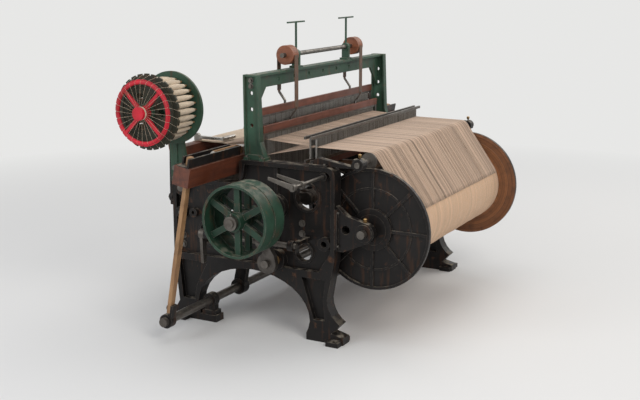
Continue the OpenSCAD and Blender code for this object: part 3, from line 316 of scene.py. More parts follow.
def worn_paint(name, paint, wear=0.7, lint=0.55, gloss=0.38, shine=0.32, worn_to=BARE_IRON):
    material, tree, shader = begin(name)
    where = place(tree)
    cloud = noise(tree, where, 7.0, 6.0, 0.6)
    colour = mix(tree, ramp(tree, cloud, 0.3, 0.7), shade(paint, 0.6), shade(paint, 1.35))
    runs = ramp(tree, noise(tree, place(tree, (38, 38, 4)), 1.0, 3.0), 0.56, 0.74, 0.0, 0.6)
    colour = mix(tree, runs, colour, shade(RUST, 0.6))
    stains = ramp(tree, noise(tree, where, 17.0, 8.0, 0.65), 0.60, 0.72, 0.0, 0.7)
    colour = mix(tree, stains, colour, RUST)
    chips = ramp(tree, noise(tree, where, 55.0, 5.0), 0.38, 0.58, 0.0, wear)
    worn = calc(tree, "MULTIPLY", edge_mask(tree, WORN_EDGE), chips)
    colour = mix(tree, worn, colour, worn_to)
    fluff = calc(tree, "MULTIPLY", ledge_mask(tree, where), lint)
    colour = mix(tree, fluff, colour, LINT)
    rough = ramp(tree, cloud, 0.3, 0.7, gloss, gloss + 0.22)
    rough = calc(tree, "MAXIMUM", rough, ramp(tree, fluff, 0.0, 0.4, 0.0, 0.95))
    sand = calc(tree, "ADD", noise(tree, where, 420.0, 3.0), calc(tree, "MULTIPLY", cloud, 2.0))
    finish(tree, shader, colour, rough, sand, 0.0009, rounded(tree, 0.0022))
    shader.inputs["Specular IOR Level"].default_value = shine
    return material


black_paint = worn_paint("black paint", (0.011, 0.0095, 0.009), gloss=0.32, shine=0.22)
green_paint = worn_paint("green paint", (0.030, 0.072, 0.044), wear=0.8, lint=0.45)
pulley_green = worn_paint("pulley green", (0.016, 0.046, 0.027), wear=0.8, lint=0.35,
                          worn_to=(0.22, 0.20, 0.17))
olive_plate = worn_paint("olive plate", (0.021, 0.023, 0.013), lint=0.4, gloss=0.45,
                         worn_to=(0.12, 0.10, 0.06))
red_paint = worn_paint("red paint", (0.52, 0.014, 0.030), wear=0.35, lint=0.25, gloss=0.3,
                       worn_to=(0.10, 0.02, 0.02))

# %% [markdown]
# ## The lit inner faces of the beam heads
# The inner faces of the beam heads were turned in a lathe, so fine rings run round them. Their
# warm brown is painted light: the lit side of the iron heads, with a painted reflection of the
# floor, while the outer faces stay black. The rings could be cut into the mesh, but they are far
# too fine. The distance from the beam's axis drives a noise instead, which makes rings of uneven
# width.


# %% Lit faces of the beam heads, in painted light
def lit_turned_face(name, centre):
    """Painted light: a warm brown face with the fine rings that its turning left, about an axis along X."""
    material, tree, shader = begin(name)
    where = place(tree)
    axis = (0.0, centre.y, centre.z)
    from_axis = add(tree, "VectorMath", {0: where, 1: axis}, operation="SUBTRACT").outputs[0]
    parts = add(tree, "SeparateXYZ", {0: from_axis})
    flat = add(tree, "CombineXYZ", {1: parts.outputs["Y"], 2: parts.outputs["Z"]}).outputs[0]
    radius = add(tree, "VectorMath", {0: flat}, operation="LENGTH").outputs["Value"]
    along = add(tree, "CombineXYZ", {0: radius}).outputs[0]
    broad = noise(tree, along, 55.0, 2.0)
    fine = noise(tree, along, 420.0, 3.0)
    # Painted light: these browns stand in for the lit side of the iron and the floor that it reflects.
    colour = mix(tree, ramp(tree, broad, 0.38, 0.62), (0.105, 0.036, 0.014), (0.34, 0.140, 0.052))
    colour = mix(tree, ramp(tree, fine, 0.45, 0.65, 0.0, 0.5), colour, (0.05, 0.020, 0.010))
    cloud = noise(tree, where, 14.0, 7.0, 0.65)
    colour = mix(tree, ramp(tree, cloud, 0.48, 0.68, 0.0, 0.6), colour, (0.035, 0.020, 0.013))
    rough = ramp(tree, cloud, 0.3, 0.7, 0.42, 0.68)
    finish(tree, shader, colour, rough, calc(tree, "ADD", fine, broad), 0.0009, rounded(tree, 0.0018))
    return material


lit_head_face = lit_turned_face("lit head face", beam_axis)

# %% [markdown]
# ## Bare metal
# Shafts, gears and wires carry no paint. Steel that is handled stays bright, and everything else
# turns brown under oil and lint. One colour would look like new plastic, so a cloudy film lies
# between a bright and a dark metal, and where it is thick the surface mirrors less. Thin wires
# that stand in rows get a tone of their own from a noise stretched across the row. One function
# with a few settings makes every metal of the loom.


# %% Metal finishes
def oiled_metal(name, bright, dark, polish=0.32, grime=0.6, lint=0.35, rows=0):
    material, tree, shader = begin(name)
    where = place(tree)
    cloud = noise(tree, where, 22.0, 7.0, 0.62)
    film = ramp(tree, cloud, 0.40, 0.62, 0.0, grime)
    colour = mix(tree, film, bright, dark)
    if rows:
        each = noise(tree, place(tree, (rows, 3, 1)), 1.0, 4.0, 0.7)
        colour = mix(tree, ramp(tree, each, 0.36, 0.62, 0.0, 0.85), colour, shade(dark, 0.45))
    edges = calc(tree, "MULTIPLY", edge_mask(tree, 0.002), 0.6)
    colour = mix(tree, edges, colour, shade(bright, 1.25))
    fluff = calc(tree, "MULTIPLY", ledge_mask(tree, where, 45.0, 0.52, 0.66), lint)
    colour = mix(tree, fluff, colour, LINT)
    dulled = calc(tree, "MULTIPLY", fluff, 0.6)
    rough = calc(tree, "ADD", ramp(tree, cloud, 0.3, 0.7, polish, polish + 0.2), dulled)
    scratches = noise(tree, place(tree, (30, 900, 900)), 1.0, 2.0)
    metal = ramp(tree, film, 0.0, 0.6, 0.95, 0.55)
    finish(tree, shader, colour, rough, scratches, 0.0003, rounded(tree, 0.0012), metal)
    return material


dark_steel = oiled_metal("dark steel", (0.155, 0.142, 0.127), (0.036, 0.026, 0.018))
bright_steel = oiled_metal("bright steel", (0.50, 0.48, 0.45), (0.16, 0.13, 0.10), polish=0.22, grime=0.4)
gear_iron = oiled_metal("gear iron", (0.115, 0.105, 0.095), (0.028, 0.022, 0.017), polish=0.36, grime=0.75)
wire_steel = oiled_metal("wire steel", (0.47, 0.45, 0.42), (0.21, 0.18, 0.15), polish=0.30, grime=0.3,
                         lint=0.0, rows=140)
bronze = oiled_metal("bronze", (0.42, 0.27, 0.12), (0.08, 0.05, 0.025))

# %% [markdown]
# ## Old hardwood
# The lay, the breast beam and the harness frames are hardwood, red with old varnish and dark where
# hands hold it. A picture of wood would repeat and could run the wrong way. A noise that is
# stretched along one axis gives grain that always runs along the piece, whatever its size.

# %% Wood finishes
ALONG_X, ALONG_Y, ALONG_Z = 0, 1, 2


def old_wood(name, pale, dark, axis, varnish=0.4, grease=0.5):
    """Hardwood with its grain along one axis."""
    material, tree, shader = begin(name)
    grain_stretch = [34.0, 34.0, 34.0]
    grain_stretch[axis] = 1.6
    grain = noise(tree, place(tree, tuple(grain_stretch)), 1.0, 7.0, 0.6)
    pore_stretch = [420.0, 420.0, 420.0]
    pore_stretch[axis] = 9.0
    pores = noise(tree, place(tree, tuple(pore_stretch)), 1.0, 2.0)
    where = place(tree)
    colour = mix(tree, ramp(tree, grain, 0.32, 0.68), pale, dark)
    colour = mix(tree, ramp(tree, pores, 0.55, 0.75, 0.0, 0.55), colour, shade(dark, 0.35))
    cloud = noise(tree, where, 9.0, 5.0)
    colour = mix(tree, ramp(tree, cloud, 0.5, 0.7, 0.0, grease), colour, shade(dark, 0.3))
    edges = calc(tree, "MULTIPLY", edge_mask(tree, WORN_EDGE), ramp(tree, cloud, 0.35, 0.6, 0.0, 0.7))
    colour = mix(tree, edges, colour, shade(pale, 1.25))
    fluff = calc(tree, "MULTIPLY", ledge_mask(tree, where, 40.0), 0.22)
    colour = mix(tree, fluff, colour, LINT)
    height = calc(tree, "ADD", calc(tree, "MULTIPLY", pores, 0.6), grain)
    rough = ramp(tree, cloud, 0.3, 0.7, varnish, varnish + 0.25)
    finish(tree, shader, colour, rough, height, 0.0012, rounded(tree, 0.003))
    return material


red_wood = old_wood("red lay wood", (0.155, 0.042, 0.018), (0.060, 0.018, 0.010), ALONG_X, varnish=0.33)
pale_wood = old_wood("pale lay wood", (0.42, 0.235, 0.10), (0.23, 0.11, 0.045), ALONG_X)
stick_wood = old_wood("hickory", (0.40, 0.23, 0.105), (0.22, 0.11, 0.05), ALONG_Z)
arm_wood = old_wood("arm wood", (0.30, 0.155, 0.07), (0.15, 0.07, 0.03), ALONG_Y)
harness_wood = old_wood("harness wood", (0.195, 0.048, 0.019), (0.085, 0.023, 0.011), ALONG_X, varnish=0.36)
sheave_wood = old_wood("sheave wood", (0.30, 0.095, 0.038), (0.12, 0.040, 0.019), ALONG_Y, grease=0.4)
barrel_wood = old_wood("barrel wood", (0.27, 0.15, 0.07), (0.13, 0.065, 0.03), ALONG_X)

# %% [markdown]
# ## Leather
# Straps lift the harness frames, and a leather loop holds each picker stick. Old strap leather is
# brown, cracked in small cells and rubbed pale at its edges. The cells could be drawn by a noise,
# but a Voronoi texture has their closed outlines already.


# %% Leather finish
def leather(name, colour):
    material, tree, shader = begin(name)
    where = place(tree)
    cells = add(tree, "TexVoronoi", {"Vector": where, "Scale": 700.0}).outputs["Distance"]
    cloud = noise(tree, where, 30.0, 6.0)
    tone = mix(tree, ramp(tree, cloud, 0.35, 0.65), shade(colour, 0.5), shade(colour, 1.3))
    tone = mix(tree, calc(tree, "MULTIPLY", edge_mask(tree, 0.003), 0.5), tone, shade(colour, 1.9))
    finish(tree, shader, tone, ramp(tree, cloud, 0.3, 0.7, 0.45, 0.7), cells, 0.0005, rounded(tree, 0.0015))
    return material


strap_leather = leather("strap leather", (0.115, 0.060, 0.034))

# %% [markdown]
# ## Grit cloth
# The take-up roll is wrapped with a strip of coarse sandpaper cloth, which grips the woven cloth.
# The wrap could be a coiled ribbon of its own. It is thinner than a coat of paint, so a grit noise
# and one dark slanting seam in the finish are enough.


# %% Grit finish
def grit_cloth(name):
    material, tree, shader = begin(name)
    where = place(tree)
    grains = noise(tree, where, 900.0, 2.0)
    spiral = bands(tree, place(tree, (1, 0.16, 0.16)), 0.055, "DIAGONAL")
    tone = mix(tree, ramp(tree, grains, 0.35, 0.65), (0.05, 0.043, 0.036), (0.17, 0.145, 0.12))
    tone = mix(tree, ramp(tree, spiral, 0.96, 1.0, 0.0, 0.7), tone, (0.02, 0.017, 0.014))
    finish(tree, shader, tone, 0.85, grains, 0.0012)
    return material


grit = grit_cloth("grit cloth")

# %% [markdown]
# ## Cotton
# Warp yarn has a soft nap, so it takes sheen and no gloss. Wound on the beam it shows fine ridges
# round the beam and broader bands, and stretched over the whip roll it looks greyer, with dark
# streaks. Real fibres would be far too many to model. Streaked noise gives the bands, and each
# use of the yarn brings its own ridges as a function.

# %% Yarn finishes
WOUND_COTTON = (0.70, 0.44, 0.255)
STRETCHED_COTTON = (0.61, 0.44, 0.32)
WEFT_COTTON = (0.70, 0.56, 0.40)


def cotton(name, colour, heights, distance, streak=(70, 0.4, 0.4), spread=(0.80, 1.10), soil=0.25):
    """Cotton whose ridges are given as a function of the node tree."""
    material, tree, shader = begin(name)
    where = place(tree)
    streaks = noise(tree, place(tree, streak), 1.0, 5.0, 0.7)
    tone = mix(tree, ramp(tree, streaks, 0.34, 0.66), shade(colour, spread[0]), shade(colour, spread[1]))
    grime = ramp(tree, noise(tree, where, 6.0, 6.0, 0.62), 0.52, 0.72, 0.0, soil)
    tone = mix(tree, grime, tone, (0.33, 0.21, 0.12))
    ridges = heights(tree)
    # Painted shade: the colour darkens in the hollows between the ridges.
    tone = mix(tree, ramp(tree, ridges, 0.0, 0.5, 0.45, 0.0), tone, shade(colour, 0.45))
    finish(tree, shader, tone, 0.88, ridges, distance)
    shader.inputs["Sheen Weight"].default_value = 0.22
    shader.inputs["Sheen Roughness"].default_value = 0.5
    return material


wound_yarn = cotton("wound warp", WOUND_COTTON,
                    lambda tree: bands(tree, place(tree), 0.0021, "X", 0.4), 0.0007)
warp_yarn = cotton("warp threads", STRETCHED_COTTON,
                   lambda tree: noise(tree, place(tree, (300, 900, 900)), 1.0, 2.0), 0.0002,
                   streak=(120, 0.4, 0.4), spread=(0.34, 1.16), soil=0.12)
bobbin_yarn = cotton("weft on bobbins", WEFT_COTTON,
                     lambda tree: bands(tree, place(tree), 0.0016, "X", 1.6), 0.0006,
                     streak=(9, 40, 40), soil=0.35)

# %% [markdown]
# ## Woven cloth
# In plain weave each weft thread goes over and under the warp by turns. The threads could be
# modelled one by one, but at this scale they are only a fine texture. Two sets of ridges cross
# each other, and adding Y and Z lets one pattern run on where the cloth turns down over the beam.

# %% Cloth finish
PLAIN_CLOTH = (0.66, 0.51, 0.36)
WARP_SPACING = 0.0021
WEFT_SPACING = 0.0024


def weave(tree):
    """Plain weave: ridges across and along the cloth."""
    parts = add(tree, "SeparateXYZ", {0: add(tree, "TexCoord").outputs["Object"]})
    along = calc(tree, "ADD", parts.outputs["Y"], parts.outputs["Z"])
    flat = add(tree, "CombineXYZ", {0: parts.outputs["X"], 1: along}).outputs[0]
    warp_way = bands(tree, flat, WARP_SPACING, "X", 0.3)
    weft_way = bands(tree, flat, WEFT_SPACING, "Y", 0.3)
    return calc(tree, "MAXIMUM", warp_way, calc(tree, "MULTIPLY", weft_way, 0.9))


cloth = cotton("plain cloth", PLAIN_CLOTH, weave, 0.0005,
               streak=(26, 3, 3), spread=(0.88, 1.06), soil=0.2)

# %% [markdown]
# ## Finishes on the CAD pieces
# Most pieces of the loom already have their right shape as castings, shafts and beams. They could
# be modelled again with finer detail, but then two shapes would have to agree. A node that has
# the right shape only needs the right finish, so its mesh stays and its material is set.


# %% Give each node its finish
def wear(material, *names):
    for name in names:
        nodes[name].data.materials.clear()
        nodes[name].data.materials.append(material)
    print(len(names), "nodes in", material.name)


wear(black_paint, "side_frame_right", "side_frame_left", "cross_girts", "beam_stands", "whip_brackets",
     "bearing_blocks", "handwheel", "lay_swords", "shuttle_boxes", "treadle_front", "treadle_back",
     "beam_heads", "shipper_handle")
wear(green_paint, "arch_posts", "arch_rail", "roll_stands", "magazine_stand", "magazine_plates")
wear(pulley_green, "tight_pulley", "loose_pulley")
wear(red_paint, "magazine_wheel")
wear(dark_steel, "frame_bolts", "crankshaft", "pulley_collar", "cam_shaft",
     "pick_arm_right", "pick_arm_left", "rocker_shaft", "belt_fork", "crank_arm_right", "crank_arm_left",
     "harness_roll", "take_up_roll", "whip_roll")
wear(bright_steel, "temples")
wear(bronze, "shaft_bushes")
wear(gear_iron, "crank_gear", "cam_gear", "cams", "let_off_pinion", "take_up_pinion")
wear(red_wood, "breast_beam", "lay_beam", "hand_rail")
wear(pale_wood, "race_plate", "shuttle")
wear(harness_wood, "harness_front", "harness_back")
wear(stick_wood, "picker_stick_right", "picker_stick_left")
wear(barrel_wood, "beam_barrel")
wear(cloth, "cloth_roll")

# %% [markdown]
# ## Rolls and heads of two materials
# Some pieces join two materials, such as a beam head with a cast gear on it. The mesh could be cut
# in two, but then a CAD node would change. A face can take another finish by where it lies, so a
# small test on the middle and the normal of each face is enough.

# %% Beam, magazine and rolls
beam_half = half_size("beam_yarn").x
HEAD_HUB = 0.08
HEAD_THICK = 0.0235
BARREL_PIN = 0.03
PLATE_HUB = 0.0445
GRIT_RADIUS = 0.05
GRIT_HALF = 0.70
TAKE_UP_GEAR_X = -0.775
SMALL_SHAFT = 0.02


def also(name, material, lies_there):
    """Faces of a node whose middle and normal pass a test take another finish."""
    mesh = nodes[name].data
    mesh.materials.append(material)
    count = 0
    for face in mesh.polygons:
        if lies_there(face.center, face.normal):
            face.material_index = len(mesh.materials) - 1
            count += 1
    print(name, count, "faces in", material.name)


def off_axis(point, axis):
    """Distance of a point from an axis along X."""
    return math.hypot(point.y - axis.y, point.z - axis.z)


def faces_yarn(c, n):
    looks_in = abs(c.x) < beam_half + 0.003 and c.x * n.x < 1e-6
    return looks_in and off_axis(c, beam_axis) > HEAD_HUB


butt_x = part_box("magazine_bobbins")[1].x
# The inner faces of the heads take the brown of painted light and painted floor reflection.
also("beam_heads", lit_head_face, faces_yarn)
also("beam_heads", gear_iron, lambda c, n: c.x < -beam_half - HEAD_THICK)
also("beam_barrel", black_paint, lambda c, n: abs(c.x) > beam_half + 0.0005)
also("beam_barrel", dark_steel, lambda c, n: off_axis(c, beam_axis) < BARREL_PIN)
also("magazine_plates", olive_plate,
     lambda c, n: c.x > butt_x - 0.0005 and off_axis(c, magazine_axis) > PLATE_HUB)
also("take_up_roll", grit,
     lambda c, n: off_axis(c, take_up_axis) > GRIT_RADIUS and abs(c.x) < GRIT_HALF)
also("take_up_roll", gear_iron, lambda c, n: c.x < TAKE_UP_GEAR_X)
also("cloth_roll", dark_steel, lambda c, n: off_axis(c, cloth_axis) < SMALL_SHAFT)
also("harness_roll", sheave_wood, lambda c, n: off_axis(c, roll_axis) > SMALL_SHAFT)

# %% [markdown]
# ## Wood with iron, steel and leather
# The shuttle has steel tips, the crank arms have iron eyes, and the harness frames hang from
# leather straps by steel hooks. Painting these by hand would have to be done again after each
# change of size. The borders are measured from the ends of each piece instead.

# %% Shuttle, handle, arms, harness frames and picker sticks
SHUTTLE_TIP = 0.040
HANDLE_GRIP = 0.118
ARM_EYE_BACK, ARM_EYE_FRONT = 0.050, 0.062
ARM_HALF_THICK, ARM_HALF_TALL = 0.0165, 0.019
HOOK_TALL = 0.06
HARNESS_RAIL = 0.037
END_BAR_X = 0.6
STRAP_LOOP = 0.0095

shuttle_mid, shuttle_half = middle("shuttle"), half_size("shuttle")
also("shuttle", bright_steel, lambda c, n: abs(c.x - shuttle_mid.x) > shuttle_half.x - SHUTTLE_TIP)
grip_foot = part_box("shipper_handle")[1].z - HANDLE_GRIP
also("shipper_handle", red_wood, lambda c, n: c.z > grip_foot)

for name in ("crank_arm_right", "crank_arm_left"):
    low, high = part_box(name)
    arm = middle(name)

    def wooden(c, n):
        if not low.y + ARM_EYE_BACK < c.y < high.y - ARM_EYE_FRONT:
            return False
        if abs(n.x) < 0.5:
            return abs(c.x - arm.x) < ARM_HALF_THICK and abs(c.z - arm.z) < ARM_HALF_TALL
        return abs(abs(c.x - arm.x) - ARM_HALF_THICK) < 0.003

    also(name, arm_wood, wooden)

for name in ("harness_front", "harness_back"):
    end_bars = [v.co.z for v in nodes[name].data.vertices if abs(v.co.x) > END_BAR_X]
    foot, top = min(end_bars), max(end_bars)
    also(name, strap_leather, lambda c, n: c.z > top + HOOK_TALL)
    also(name, dark_steel, lambda c, n: top + 0.0005 < c.z <= top + HOOK_TALL or c.z < foot - 0.0005)
    also(name, dark_steel,
         lambda c, n: foot + HARNESS_RAIL < c.z < top - HARNESS_RAIL and abs(c.x) > END_BAR_X)

for name in ("picker_stick_right", "picker_stick_left"):
    inner = min(abs(v.co.x) for v in nodes[name].data.vertices)
    also(name, strap_leather, lambda c, n: abs(c.x) < inner + STRAP_LOOP)

# %% [markdown]
# ## The path of a warp thread
# A thread leaves the top of the beam, passes over the whip roll and through the drop wires, and
# parts up or down where a harness frame holds it. The path could be drawn by hand. Worked out from
# the rolls, with a true tangent between them, it touches each roll and cuts none.

# %% Path of a warp thread
THREAD_RADIUS = 0.00068
CLEARANCE = 0.0003
LAY_LEAN = math.radians(10.5)
HARNESS_LIFT = 0.042
LAP_BACK = 12
PAST_TOP = 93
fell_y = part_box("warp_threads")[0].y + 0.040
drop_low, drop_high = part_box("drop_wires")
drop_y = drop_low.y + 0.050
drop_z = drop_low.z + 0.096
harness_y = (middle("heddles_front").y + middle("heddles_back").y) / 2
up_z = warp_z + HARNESS_LIFT - 0.002
down_z = warp_z - (harness_y - fell_y) * math.tan(LAY_LEAN)


def leave_angle(first, first_radius, second, second_radius):
    """Angle at which a thread leaves the top of one roll for another, in degrees."""
    dy, dz = second.y - first.y, second.z - first.z
    reach = math.hypot(dy, dz)
    return math.degrees(math.atan2(dz, dy) - math.acos((first_radius - second_radius) / reach))


beam_lift = warp_radius + CLEARANCE + THREAD_RADIUS
whip_lift = whip_radius + CLEARANCE + THREAD_RADIUS
off_beam = leave_angle(beam_axis, beam_lift, whip_axis, whip_lift)


def warp_path(up):
    path = arc_points(beam_axis, beam_lift, off_beam - LAP_BACK, off_beam, 2)
    path += arc_points(whip_axis, whip_lift, off_beam, PAST_TOP, 6)
    path.append((drop_y, drop_z))
    path.append((harness_y, up_z if up else down_z))
    path.append((fell_y, warp_z))
    path.append((fell_y - 0.02, warp_z))
    return path


print("threads leave the beam at", round(off_beam, 1), "degrees")

# %% [markdown]
# ## The warp
# Hundreds of threads run side by side, and half of them are lifted to open the shed for the
# shuttle. One flat sheet would be lighter but would look like paper. Thin tubes were chosen, with
# a little disorder in the spacing and a few broken ends, so that dark gaps show through.

# %% Warp threads
THREADS_PER_CAD_THREAD = 6
CAD_THREADS = 118
CAD_PITCH = 0.0106
MOST_WANDER = 0.0006
BROKEN_SHARE = 0.05
FIXED_POINTS = 4

warp = Shape()
thread_count = CAD_THREADS * THREADS_PER_CAD_THREAD
pitch = CAD_PITCH / THREADS_PER_CAD_THREAD
wander = 0.0
for k in range(thread_count):
    wander = 0.7 * wander + chance.uniform(-MOST_WANDER, MOST_WANDER)
    if chance.random() < BROKEN_SHARE:
        continue
    x = (k - (thread_count - 1) / 2) * pitch
    path = warp_path(k % 2 == 0)
    free = len(path) - FIXED_POINTS
    points = [(x + (wander if i < free else 0.0), y, z) for i, (y, z) in enumerate(path)]
    warp.thread(points, THREAD_RADIUS)
warp_piece = warp.piece("warp_yarn", [warp_yarn], "frame", "yarn")
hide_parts("warp_threads")

# %% [markdown]
# ## The yarn on the beam
# The rest of the warp is wound on the beam, layer over layer, until it is nearly as big as the
# heads. Real turns of yarn would need far too many faces. A turned body is enough, with fine
# ridges and a few soft hollows, where neighbouring bands of threads sank at different depths.

# %% Wound yarn
RIDGE_STEP = 0.0042
RIDGE = 0.0005
BARREL_REACH = 0.0765
SHOULDER = 0.012
SHOULDER_DROP = 0.004

wound = Shape()
ridge_count = int(2 * beam_half / RIDGE_STEP)
profile = [(-beam_half, BARREL_REACH)]
for k in range(ridge_count + 1):
    x = -beam_half + 2 * beam_half * k / ridge_count
    full = min(1.0, (beam_half - abs(x)) / SHOULDER)
    sink = 0.0016 + 0.0012 * math.sin(x * 31.0) * math.sin(x * 13.0) + chance.uniform(0, 0.0006)
    profile.append((x, warp_radius - sink - SHOULDER_DROP * (1 - full) - (RIDGE if k % 2 else 0.0)))
profile.append((beam_half, BARREL_REACH))
wound.lathe(profile, (0, beam_axis.y, beam_axis.z), 96)
wound_piece = wound.piece("wound_warp", [wound_yarn], "warp_beam", "yarn")
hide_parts("beam_yarn")

# %% [markdown]
# ## The cloth
# New cloth runs from the fell over the breast beam, down to the grit roll and into the nip above
# the cloth roll. A cloth simulation would let it sag, but this cloth is stretched tight. So it is
# one thin sheet on arcs round the beam and the roll.

# %% Cloth from the fell to the take-up roll
CLOTH_THICK = 0.0009
NOSE_RADIUS = 0.026
NIP_ANGLE = 267
CLOTH_COLUMNS = 60
SELVAGE_IN = 0.004
SELVAGE_WAVE = 0.003

nose_low, nose_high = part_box("breast_beam")
nose = Vector((0, nose_low.y + NOSE_RADIUS, nose_high.z - NOSE_RADIUS))
nose_lift = warp_z - nose.z
roll_lift = take_up_axis.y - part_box("cloth_web")[0].y - WEB_HALF_THICK
fall_y, fall_z = take_up_axis.y - nose.y, take_up_axis.z - nose.z
lean = math.acos((nose_lift - roll_lift) / math.hypot(fall_y, fall_z))
down_angle = 360 + math.degrees(math.atan2(fall_z, fall_y) - lean)
web_path = [(fell_y + 0.003, warp_z), (fell_y - 0.05, warp_z), (fell_y - 0.11, warp_z)]
web_path += arc_points(nose, nose_lift, 90, down_angle, 10)
web_path += arc_points(take_up_axis, roll_lift, down_angle, NIP_ANGLE, 14)

web = Shape()
rows = []
for j, (y, z) in enumerate(web_path):
    half = warp_half_width - SELVAGE_IN + SELVAGE_WAVE * math.sin(j * 1.3)
    rows.append([((2 * i / CLOTH_COLUMNS - 1) * half, y, z) for i in range(CLOTH_COLUMNS + 1)])
web.rings(rows, closed=False, capped=False)
web_piece = web.piece("cloth", [cloth], "frame", "cloth")
solid = web_piece.modifiers.new("thickness", "SOLIDIFY")
solid.thickness = CLOTH_THICK
solid.offset = 0
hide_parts("cloth_web")

# %% [markdown]
# ## The reed
# The reed is a comb of flat wires in the lay, which spaces the threads and beats each weft home.
# An array modifier could repeat one wire. Here a loop adds the wires to one mesh, as far apart as
# the threads are, and leans them with the lay.

# %% Reed wires
RACE_H, REED_H, REED_Y = 0.806, 0.112, 0.034
WIRE_HALF = 0.00035
REED_HALF_DEEP = 0.0033
RIB_STEPS = 10


def lay_frame(y, z):
    """A point given in the upright lay, turned to where the lay stands at rest."""
    return (rocker_axis.y + y * math.cos(LAY_LEAN) + z * math.sin(LAY_LEAN),
            rocker_axis.z + z * math.cos(LAY_LEAN) - y * math.sin(LAY_LEAN))


def leaning_bar(shape, outline, x0, x1, mark=0):
    """A bar along X whose outline (y, z) is given in the upright lay."""
    corners = [lay_frame(y, z) for y, z in outline]
    shape.rings([[(x, y, z) for y, z in corners] for x in (x0, x1)], mark)


reed = Shape()
reed_half = half_size("reed").x
back, front = REED_Y - REED_HALF_DEEP, REED_Y + REED_HALF_DEEP
foot, top = RACE_H - 0.009, RACE_H + REED_H + 0.001
for k in range(thread_count + 1):
    x = (k - thread_count / 2) * pitch
    leaning_bar(reed, ((back, foot), (front, foot), (front, top), (back, top)), x - WIRE_HALF, x + WIRE_HALF)
for z in (RACE_H - 0.020, RACE_H + REED_H):
    rib = [(REED_Y + 0.005 * math.cos(a), z + 0.006 + 0.006 * math.sin(a)) for a in turn_in(RIB_STEPS)]
    leaning_bar(reed, rib, -reed_half, reed_half, 1)
reed_piece = reed.piece("reed_wires", [wire_steel, stick_wood], "lay", "bright_steel", smooth=False)
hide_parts("reed")

# %% [markdown]
# ## The heddles
# Each warp thread goes through the eye of a heddle, a flat wire between two bars of the harness
# frame. A round eye in each would cost many faces that nobody sees. A blade that narrows and then
# widens round the middle reads as an eye in a whole row of them.


# %% Heddle wires
def heddle_set(name, node, body):
    """Flat heddles, widened at half height, between two steel bars."""
    low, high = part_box(node)
    y = (low.y + high.y) / 2
    mid = (low.z + high.z) / 2
    outline = [(low.z + 0.010, 0.0016), (mid - 0.016, 0.0013), (mid - 0.005, 0.0021),
               (mid + 0.005, 0.0021), (mid + 0.016, 0.0013), (high.z - 0.010, 0.0016)]
    shape = Shape()
    for k in range(thread_count // 2):
        x = (2 * k + 1.5 - thread_count / 2) * pitch
        left, right = x - WIRE_HALF, x + WIRE_HALF
        shape.rings([[(left, y - w, z), (right, y - w, z), (right, y + w, z), (left, y + w, z)]
                     for z, w in outline])
    for bar_z in (low.z, high.z - 0.012):
        shape.box((low.x, y - 0.0025, bar_z), (high.x, y + 0.0025, bar_z + 0.012), 1)
    piece = shape.piece(name, [wire_steel, dark_steel], body, "bright_steel", smooth=False)
    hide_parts(node)


heddle_set("heddle_wires_front", "heddles_front", "harness_front")
heddle_set("heddle_wires_back", "heddles_back", "harness_back")

# %% [markdown]
# ## The drop wires
# A thin steel strip hangs on every thread behind the harness. When a thread breaks, its strip
# drops and stops the loom. They could all hang level, but each takes its own small height here,
# because a real row of them never makes a straight line.

# %% Drop wires in two rows
DROP_ROW_Y = (-0.030, 0.004)
DROP_HALF = 0.0002
MOST_HANG = 0.003

drops = Shape()
for row_y in DROP_ROW_Y:
    y = drop_y + row_y
    for k in range(thread_count // 2):
        x = (2 * k + 1.5 - thread_count / 2) * pitch
        hang = chance.uniform(-MOST_HANG, MOST_HANG)
        drops.box((x - DROP_HALF, y - 0.0042, drop_z - 0.062 + hang),
                  (x + DROP_HALF, y + 0.0042, drop_z + 0.046 + hang))
    for bar_low, bar_high in ((-0.074, -0.060), (0.044, 0.058)):
        drops.box((drop_low.x + 0.020, y - 0.005, drop_z + bar_low),
                  (drop_high.x - 0.020, y + 0.005, drop_z + bar_high), 1)
for s in (-1, 1):
    inner, outer = sorted((s * (drop_high.x - 0.030), s * drop_high.x))
    drops.box((inner, drop_y - 0.050, drop_z - 0.096), (outer, drop_y + 0.030, drop_z - 0.074), 2)
drop_piece = drops.piece("drop_wire_rows", [wire_steel, dark_steel, black_paint], "frame",
                         "bright_steel", smooth=False)
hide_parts("drop_wires")

# %% [markdown]
# ## Bobbins in the magazine
# Each bobbin is a turned wooden quill with three rings on its butt, and weft wound on it in a long
# cone. Copies of one mesh would be lighter, but they would all be the same. Turned one by one in a
# loop, each gets a slightly different amount of yarn, as they do in use.

# %% Bobbins
BOBBINS = 28
YARN_RADIUS = 0.0155
QUILL = [(0.0, 0.0046), (0.012, 0.0058), (0.150, 0.0082), (0.158, 0.0088), (0.160, 0.0124),
         (0.1665, 0.0124), (0.168, 0.0112)]
BUTT_RINGS = (0.170, 0.1765, 0.183)
BUTT, RING = 0.0112, 0.0128
CONE_START = 0.022
CONE_TIP = 0.0066
CONE_STEPS = 26
CONE_SHARE = 0.37
CONE_RIDGE = 0.00035

bobbin_low, bobbin_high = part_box("magazine_bobbins")
ring_radius = (bobbin_high.z - bobbin_low.z) / 2 - YARN_RADIUS
quill = list(QUILL)
for x in BUTT_RINGS:
    quill += [(x, BUTT), (x + 0.0004, RING), (x + 0.0034, RING), (x + 0.0038, BUTT)]
quill.append((bobbin_high.x - bobbin_low.x, 0.0108))


def around(x, r, angle):
    """A point on a circle round the magazine's axis, with the angle from the top."""
    return (x, magazine_axis.y - r * math.sin(angle), magazine_axis.z + r * math.cos(angle))


def yarn_cone(full, end):
    """The profile of wound weft: a cone at the tip, then even to the butt."""
    cone = [(0.020, 0.0064)]
    for k in range(CONE_STEPS + 1):
        t = k / CONE_STEPS
        swell = min(1.0, 0.30 + 1.9 * t) if t < CONE_SHARE else 1.0
        radius = CONE_TIP + (full - CONE_TIP) * swell - (CONE_RIDGE if k % 2 else 0.0)
        cone.append((CONE_START + (end - CONE_START) * t, radius))
    cone.append((end + 0.004, 0.0090))
    return cone


